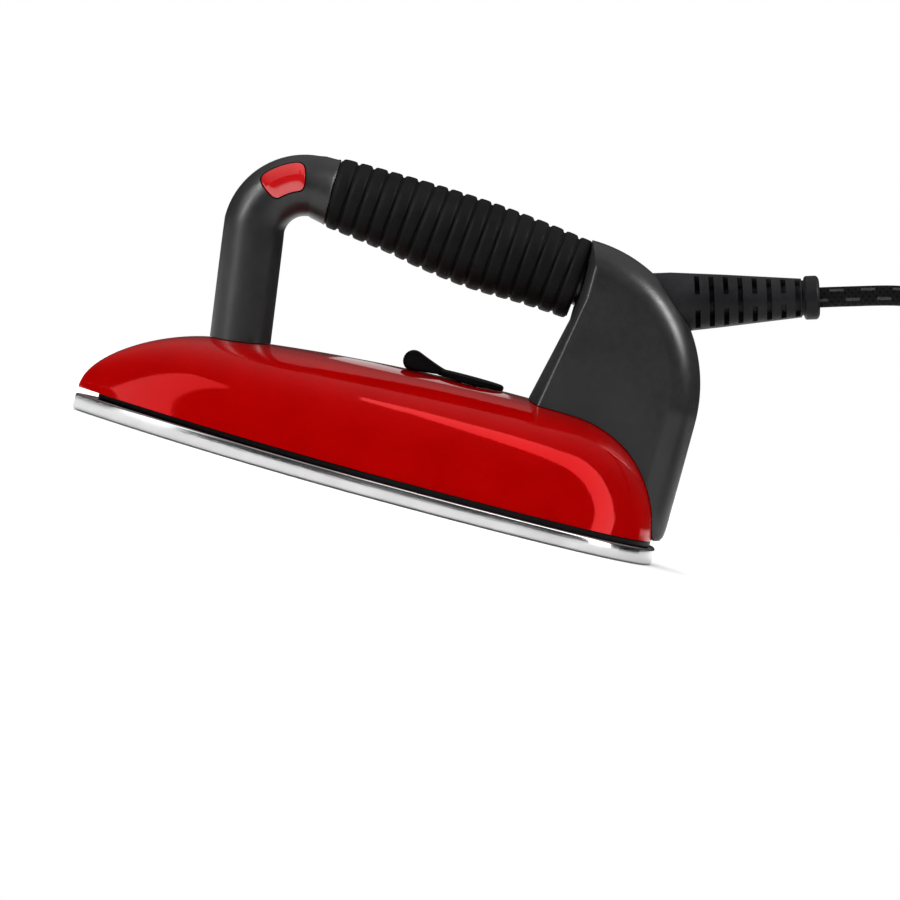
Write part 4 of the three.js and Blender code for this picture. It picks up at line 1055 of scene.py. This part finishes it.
def make_housing(name, side):
    shell = half_slab(name, side)
    width = HOUSING_WIDTH - 2 * HOUSING_WALL
    hollow = side_slab(
        "hollow", lambda inset: housing_outline(HOUSING_WALL + inset, 14), width, 6, 3,
    )
    for vertex in hollow.data.vertices:
        vertex.co.y *= narrowing(vertex.co.x / MM, vertex.co.z / MM) ** 1.5
    combine(hollow, cover_form("over_cover", 3.4, stations=40, sides=30))
    combine(shell, hollow)
    inside = width / 2 + 0.5
    reach = sorted((side * 0.15, side * inside))
    for screw, (x, z, head) in SCREWS.items():
        first, last = sorted((side * 0.15, side * min(inside, head - 0.5)))
        boss = turned_across(f"boss_{screw}", x, z, [(first, 4), (last, 4)], 24)
        combine(shell, boss, "UNION")
    clamp_x = along(0.818)
    shelf_top = RELIEF_END[1] - (RELIEF_END[0] - clamp_x) * math.tan(RELIEF_HEADING) - 5
    shelf = fine_block("shelf", clamp_x - 1, clamp_x + 8, *reach, shelf_top - 5, shelf_top, 0.2)
    combine(shell, shelf, "UNION")
    seat = turned_upright("seat", STUD_X, side * 11, [(36, 5.4), (NUT_SEAT, 5.4)], 28)
    combine(shell, seat, "UNION")
    combine(shell, cover_form("cover_gap", 0.3, stations=80, sides=60))
    x, z = relief_at(80)
    combine(shell, turned("relief_port", x, z, RELIEF_HEADING, [(0, 11.6), (66, 11.6)], 56))
    z, radius, heading = grip_at(GRIP_REAR)
    combine(shell, turned("core_port", GRIP_REAR - 4, z, heading, [
        (0, 10.1), (5.3, 10.1), (5.4, 12.3), (16, 12.3),
    ], 48))
    z_before = grip_at(GRIP_REAR - 8)[0]
    combine(shell, turned("grip_port", GRIP_REAR - 8, z_before, heading, [
        (0, radius + 0.6), (8.3, radius + 0.6),
    ], 64))
    drill(shell, [(STUD_X, side * 11, 2.9), (WIRE_X, 0, 5.0)], 20, 64, 28)
    drill(shell, [(clamp_x + 3.5, side * 8, 1.9)], 20, shelf_top + 1, 28)
    for screw, (x, z, head) in SCREWS.items():
        if side > 0:
            profile = [(-1, 1.9), (head - 3, 1.9), (head - 3, 3.6), (head - 0.6, 3.6), (40, 3.8)]
        else:
            profile = [(-11, 1.9), (1, 1.9)]
        combine(shell, turned_across(f"bore_{screw}", x, z, profile, 32))
    return shell


def make_screw(name, x, z, top):
    """Cross-head screw whose head faces the right side."""
    profile = [(-10, 1.2), (-9.4, 1.5), (top - 2.8, 1.5), (top - 2.7, 2.9), (top - 2.4, 3.2),
               (top - 0.9, 3.2), (top - 0.3, 2.7), (top, 1.6)]
    screw = turned_across(name, x, z, profile, 32)
    for i, turn in enumerate((0.0, math.pi / 2)):
        a, b = math.cos(turn + 0.4), math.sin(turn + 0.4)
        combine(screw, loft(f"slot_{i}", [
            [
                Vector((x + (u * a - v * b), y, z + (u * b + v * a)))
                for u, v in ((-reach, -0.33), (reach, -0.33), (reach, 0.33), (-reach, 0.33))
            ]
            for y, reach in ((top - 1.9, 0.95), (top + 0.5, 1.9))
        ]))
    return screw


housings = [
    stands_for(make_housing(f"housing_{hand}", side), f"rear_housing_{hand}")
    for hand, side in (("left", -1), ("right", 1))
]
for part, (x, z, top) in SCREWS.items():
    stands_for(make_screw(f"screw_{part}", x, z, top), f"housing_screw_{part}")


# ---- strain relief

def relief_sector(name, middle, inner, outer, width, start, end):
    """Piece of a ring round the relief's axis, between two angles from its top."""
    half = width / 2
    section = ((-half, inner), (half, inner), (half, outer), (-half, outer))
    rings = []
    for i in range(17):
        a = math.radians(start + (end - start) * i / 16)
        rings.append([
            point_across(*relief_at(RELIEF_LENGTH - middle - distance), RELIEF_HEADING, radius, a)
            for distance, radius in section
        ])
    return loft(name, rings)


def make_relief():
    x, z = relief_at(RELIEF_LENGTH)
    profile = [(0, RELIEF_ROOT_RADIUS), (11, RELIEF_ROOT_RADIUS), (30, 9.85), (58.6, 7.35),
               (59.4, 7.3), (59.6, 6.6), (60.3, 6.6), (60.5, 7.6), (61.1, 8.2), (64.9, 8.2),
               (65.6, 7.7), (RELIEF_LENGTH, 6.9)]
    relief = turned("relief", x, z, RELIEF_HEADING, profile, 64)
    combine(relief, turned("cord_bore", x, z, RELIEF_HEADING, [(-2, 4.1), (68, 4.1)], 32))
    for i in range(8):
        middle = 20.3 + 5.36 * i
        radius = RELIEF_ROOT_RADIUS - (middle - 11) / 49.5 * 4.1
        spans = [(24, 156)] if i % 2 else [(24, 74), (106, 156)]
        for start, end in spans:
            for turn in (0, 180):
                sector = relief_sector(f"slot_{i}_{start}_{turn}", middle, 5.6, radius + 2, 1.9,
                                       start + turn, end + turn)
                combine(relief, sector)
    return relief


relief = stands_for(make_relief(), "strain_relief")


# ---- temperature lever

def make_lever():
    under, top = COVER_TOP - 0.1, COVER_TOP + 2.2
    knob_x = LEVER_X - 22.5
    disc = turned_upright("lever", LEVER_X, 0, [
        (under, 12.4), (under + 0.4, 12.9), (under + 1.1, 13.0), (top - 0.7, 12.9),
        (top - 0.25, 12.6), (top, 12.0),
    ], 72)

    def tongue_outline(inset):
        radius = 3.95 - inset
        slope = [i / 8 for i in range(9)]
        knob = [math.radians(w) for w in range(75, 256, 15)]
        return [
            (LEVER_X, under + 0.2), (LEVER_X, top - 0.1 - inset),
            *((LEVER_X - 9.5 - 11.5 * t, top + 4.1 * t ** 1.15 - inset) for t in slope),
            *(
                (knob_x + 0.2 + radius * math.cos(a), COVER_TOP + 2.55 + radius * math.sin(a))
                for a in knob
            ),
            (LEVER_X - 12, under + 0.2),
        ]

    tongue = side_slab("tongue", tongue_outline, 10.0, 1.6, 6)
    combine(disc, tongue, "UNION")
    key = turned_upright("key", LEVER_X, 0, [(under - 1, 3.8), (top - 1, 3.8)], 6)
    combine(disc, key)
    return disc


stands_for(make_lever(), "temperature_lever", body="lever")


# ---- floor and light


def make_floor():
    mesh = bpy.data.meshes.new("floor")
    reach = 1.2
    corners = ((-reach, -reach), (reach, -reach), (reach, reach), (-reach, reach))
    mesh.from_pydata([(x, y, -0.0002) for x, y in corners], [], [(0, 1, 2, 3)])
    floor = add_object("floor", mesh)
    n = Nodes("floor")
    n.link(n.mix(n.noise(3.0), (0.9, 0.9, 0.9), (0.94, 0.94, 0.94)), n.shader.inputs["Base Color"])
    n.link(n.spread(n.noise(200.0), 0.8, 0.9), n.shader.inputs["Roughness"])
    n.set("Specular IOR Level", 0.1)
    away = n.add("VectorMath", operation="LENGTH")
    flatten = n.add("Mapping")
    flatten.inputs["Location"].default_value = (-0.08, 0.0, 0.0)
    n.link(n.place, flatten.inputs["Vector"])
    n.link(flatten.outputs["Vector"], away.inputs[0])
    fade = n.spread(away.outputs["Value"], 0.0, 1.0, 0.34, 0.75)
    clear = n.add("BsdfTransparent")
    blend = n.add("MixShader")
    n.link(fade, blend.inputs["Fac"])
    n.link(n.shader.outputs["BSDF"], blend.inputs[1])
    n.link(clear.outputs["BSDF"], blend.inputs[2])
    n.link(blend.outputs["Shader"], n.out.inputs["Surface"])
    floor.data.materials.append(n.material)


def make_world():
    """White behind everything, a soft grey room for the fill, and a dim one in reflections."""
    world = bpy.data.worlds.new("studio")
    bpy.context.scene.world = world
    world.use_nodes = True
    nodes, join = world.node_tree.nodes, world.node_tree.links.new
    nodes.clear()
    out = nodes.new("ShaderNodeOutputWorld")
    rays = nodes.new("ShaderNodeLightPath")
    place = nodes.new("ShaderNodeTexCoord")
    split = nodes.new("ShaderNodeSeparateXYZ")
    join(place.outputs["Generated"], split.inputs[0])

    def background(stops, strength):
        ramp = nodes.new("ShaderNodeValToRGB")
        join(split.outputs["Z"], ramp.inputs["Fac"])
        elements = ramp.color_ramp.elements
        elements[0].position, elements[0].color = stops[0][0], (*[stops[0][1]] * 3, 1)
        elements[1].position, elements[1].color = stops[-1][0], (*[stops[-1][1]] * 3, 1)
        for position, value in stops[1:-1]:
            elements.new(position).color = (value, value, value, 1)
        shade = nodes.new("ShaderNodeBackground")
        join(ramp.outputs["Color"], shade.inputs["Color"])
        shade.inputs["Strength"].default_value = strength
        return shade.outputs[0]

    def choose(flag, otherwise, chosen):
        mix = nodes.new("ShaderNodeMixShader")
        join(rays.outputs[flag], mix.inputs["Fac"])
        join(otherwise, mix.inputs[1])
        join(chosen, mix.inputs[2])
        return mix.outputs[0]

    fill = background([(0.0, 0.5), (0.2, 0.6), (1.0, 1.0)], 0.75)
    mirrored = background([(0.0, 0.06), (0.12, 0.05), (0.45, 0.16), (1.0, 0.7)], 0.8)
    white = nodes.new("ShaderNodeBackground")
    white.inputs["Color"].default_value = (1, 1, 1, 1)
    shown = choose("Is Glossy Ray", fill, mirrored)
    shown = choose("Is Camera Ray", shown, white.outputs[0])
    join(shown, out.inputs["Surface"])


def area_light(name, at, aim, width, height, power, mirrored, lit):
    data = bpy.data.lights.new(name, "AREA")
    data.shape = "RECTANGLE"
    data.size = width
    data.size_y = height
    data.energy = power
    light = add_object(name, data)
    light.location = at
    light.rotation_euler = (Vector(aim) - Vector(at)).to_track_quat("-Z", "Y").to_euler()
    light.visible_glossy = mirrored
    if lit:
        light.light_linking.receiver_collection = lit


make_floor()
make_world()


CARD_DISTANCE = 1.3


def cover_point(x, z):
    """Point of the cover's near side at a height, and the direction it faces."""
    def at(x, t):
        width, height = cover_section(x, COVER_NOSE, COVER_TAIL, COVER_HALF_WIDTH, 0)
        return Vector((x, -width * math.cos(t) ** ARCH, COVER_BASE + height * math.sin(t) ** ARCH))

    low, high = 0.001, math.pi / 2 - 0.001
    for _ in range(40):
        t = (low + high) / 2
        if at(x, t).z < z:
            low = t
        else:
            high = t
    point = at(x, t)
    facing = (at(x + 0.2, t) - at(x - 0.2, t)).cross(at(x, t + 0.001) - at(x, t - 0.001))
    facing.normalize()
    return point, facing if facing.y < 0 else -facing


def light_card(name, upper, lower, strength):
    """Glowing card, lighting the cover and sole only, whose reflection seen by the camera lies
    between two lines on the cover's near side.
    """
    view = Vector((0.0, -math.cos(CAMERA_RAISED), math.sin(CAMERA_RAISED)))
    points = []
    for line in (upper, lower):
        for x, z in line:
            point, facing = cover_point(x, z)
            away = 2 * facing.dot(view) * facing - view
            points.append(point * MM + away * CARD_DISTANCE)
    count = len(upper)
    mesh = bpy.data.meshes.new(name)
    mesh.from_pydata(points, [], [
        (i, i + 1, count + i + 1, count + i) for i in range(count - 1)
    ])
    card = add_object(name, mesh)
    card.visible_camera = False
    card.visible_diffuse = False
    card.visible_shadow = False
    n = Nodes(name)
    n.set("Base Color", (0, 0, 0, 1))
    n.set("Emission Color", (1, 1, 1, 1))
    n.set("Emission Strength", strength)
    mesh.materials.append(n.material)
    card.light_linking.receiver_collection = shiny


def group(name, *pieces):
    """Collection that a light can be linked to."""
    collection = bpy.data.collections.new(name)
    for piece in pieces:
        collection.objects.link(piece)
    return collection


matt = group("matt", handle, grip, *housings, relief)
ground = group("ground", bpy.data.objects["floor"])
shiny = group("shiny", cover, sole)
# Each lamp: place, aim, width, height, power, whether gloss mirrors it, what alone it lights.
LAMPS = {
    "over": ((-0.1, 0.15, 1.5), (0, 0, 0.05), 1.5, 0.9, 13, False, None),
    "front_fill": ((0.1, -2.2, 1.9), (0, 0, 0.05), 1.6, 0.8, 6, False, None),
    "nose_box": ((-1.35, -0.85, 0.8), (-0.06, 0, 0.09), 0.4, 1.5, 48, True, matt),
    "back_box": ((1.3, -0.35, 1.2), (0.06, 0, 0.09), 0.4, 0.8, 30, True, matt),
    "floor_wash": ((0.05, 0, 1.6), (0.05, 0, 0), 1.2, 1.2, 15, False, ground),
}
for lamp, settings in LAMPS.items():
    area_light(lamp, *settings)
light_card("shoulder_card", [
    (-11, 34.2), (5, 34.7), (19, 35), (34, 35.1), (49, 35), (60, 34.7), (69, 34), (75, 33.2),
    (79, 31.8), (83, 29.6), (87, 26), (90, 22.2), (92.4, 17.5), (94, 13), (94.8, 9),
], [
    (-11, 33.2), (5, 33.1), (19, 32.7), (34, 32.1), (49, 31.4), (60, 30.6), (67, 29.6),
    (72, 28.4), (76, 26.8), (79.5, 24.5), (82.5, 21.5), (84.7, 18.2), (86.2, 14.8), (87, 12),
    (87.4, 9),
], 4.9)
light_card("nose_card", [
    (-106, 9.6), (-102, 13), (-97, 16.5), (-91, 20), (-84, 23), (-76, 25.2), (-62, 25.2),
], [
    (-82, 9), (-81.7, 11), (-80.6, 13.6), (-78.4, 16.4), (-75, 19), (-70.5, 21.4), (-62, 24.2),
], 2.6)
light_card("crest_card", [
    (-46, 43.1), (-30, 44.4), (-10, 45.8), (10, 46.9), (30, 47.6), (51, 47.85),
], [
    (-46, 42.0), (-30, 43.2), (-10, 44.5), (10, 45.6), (30, 46.4), (51, 46.9),
], 0.7)
bpy.context.scene.view_settings.view_transform = "Standard"
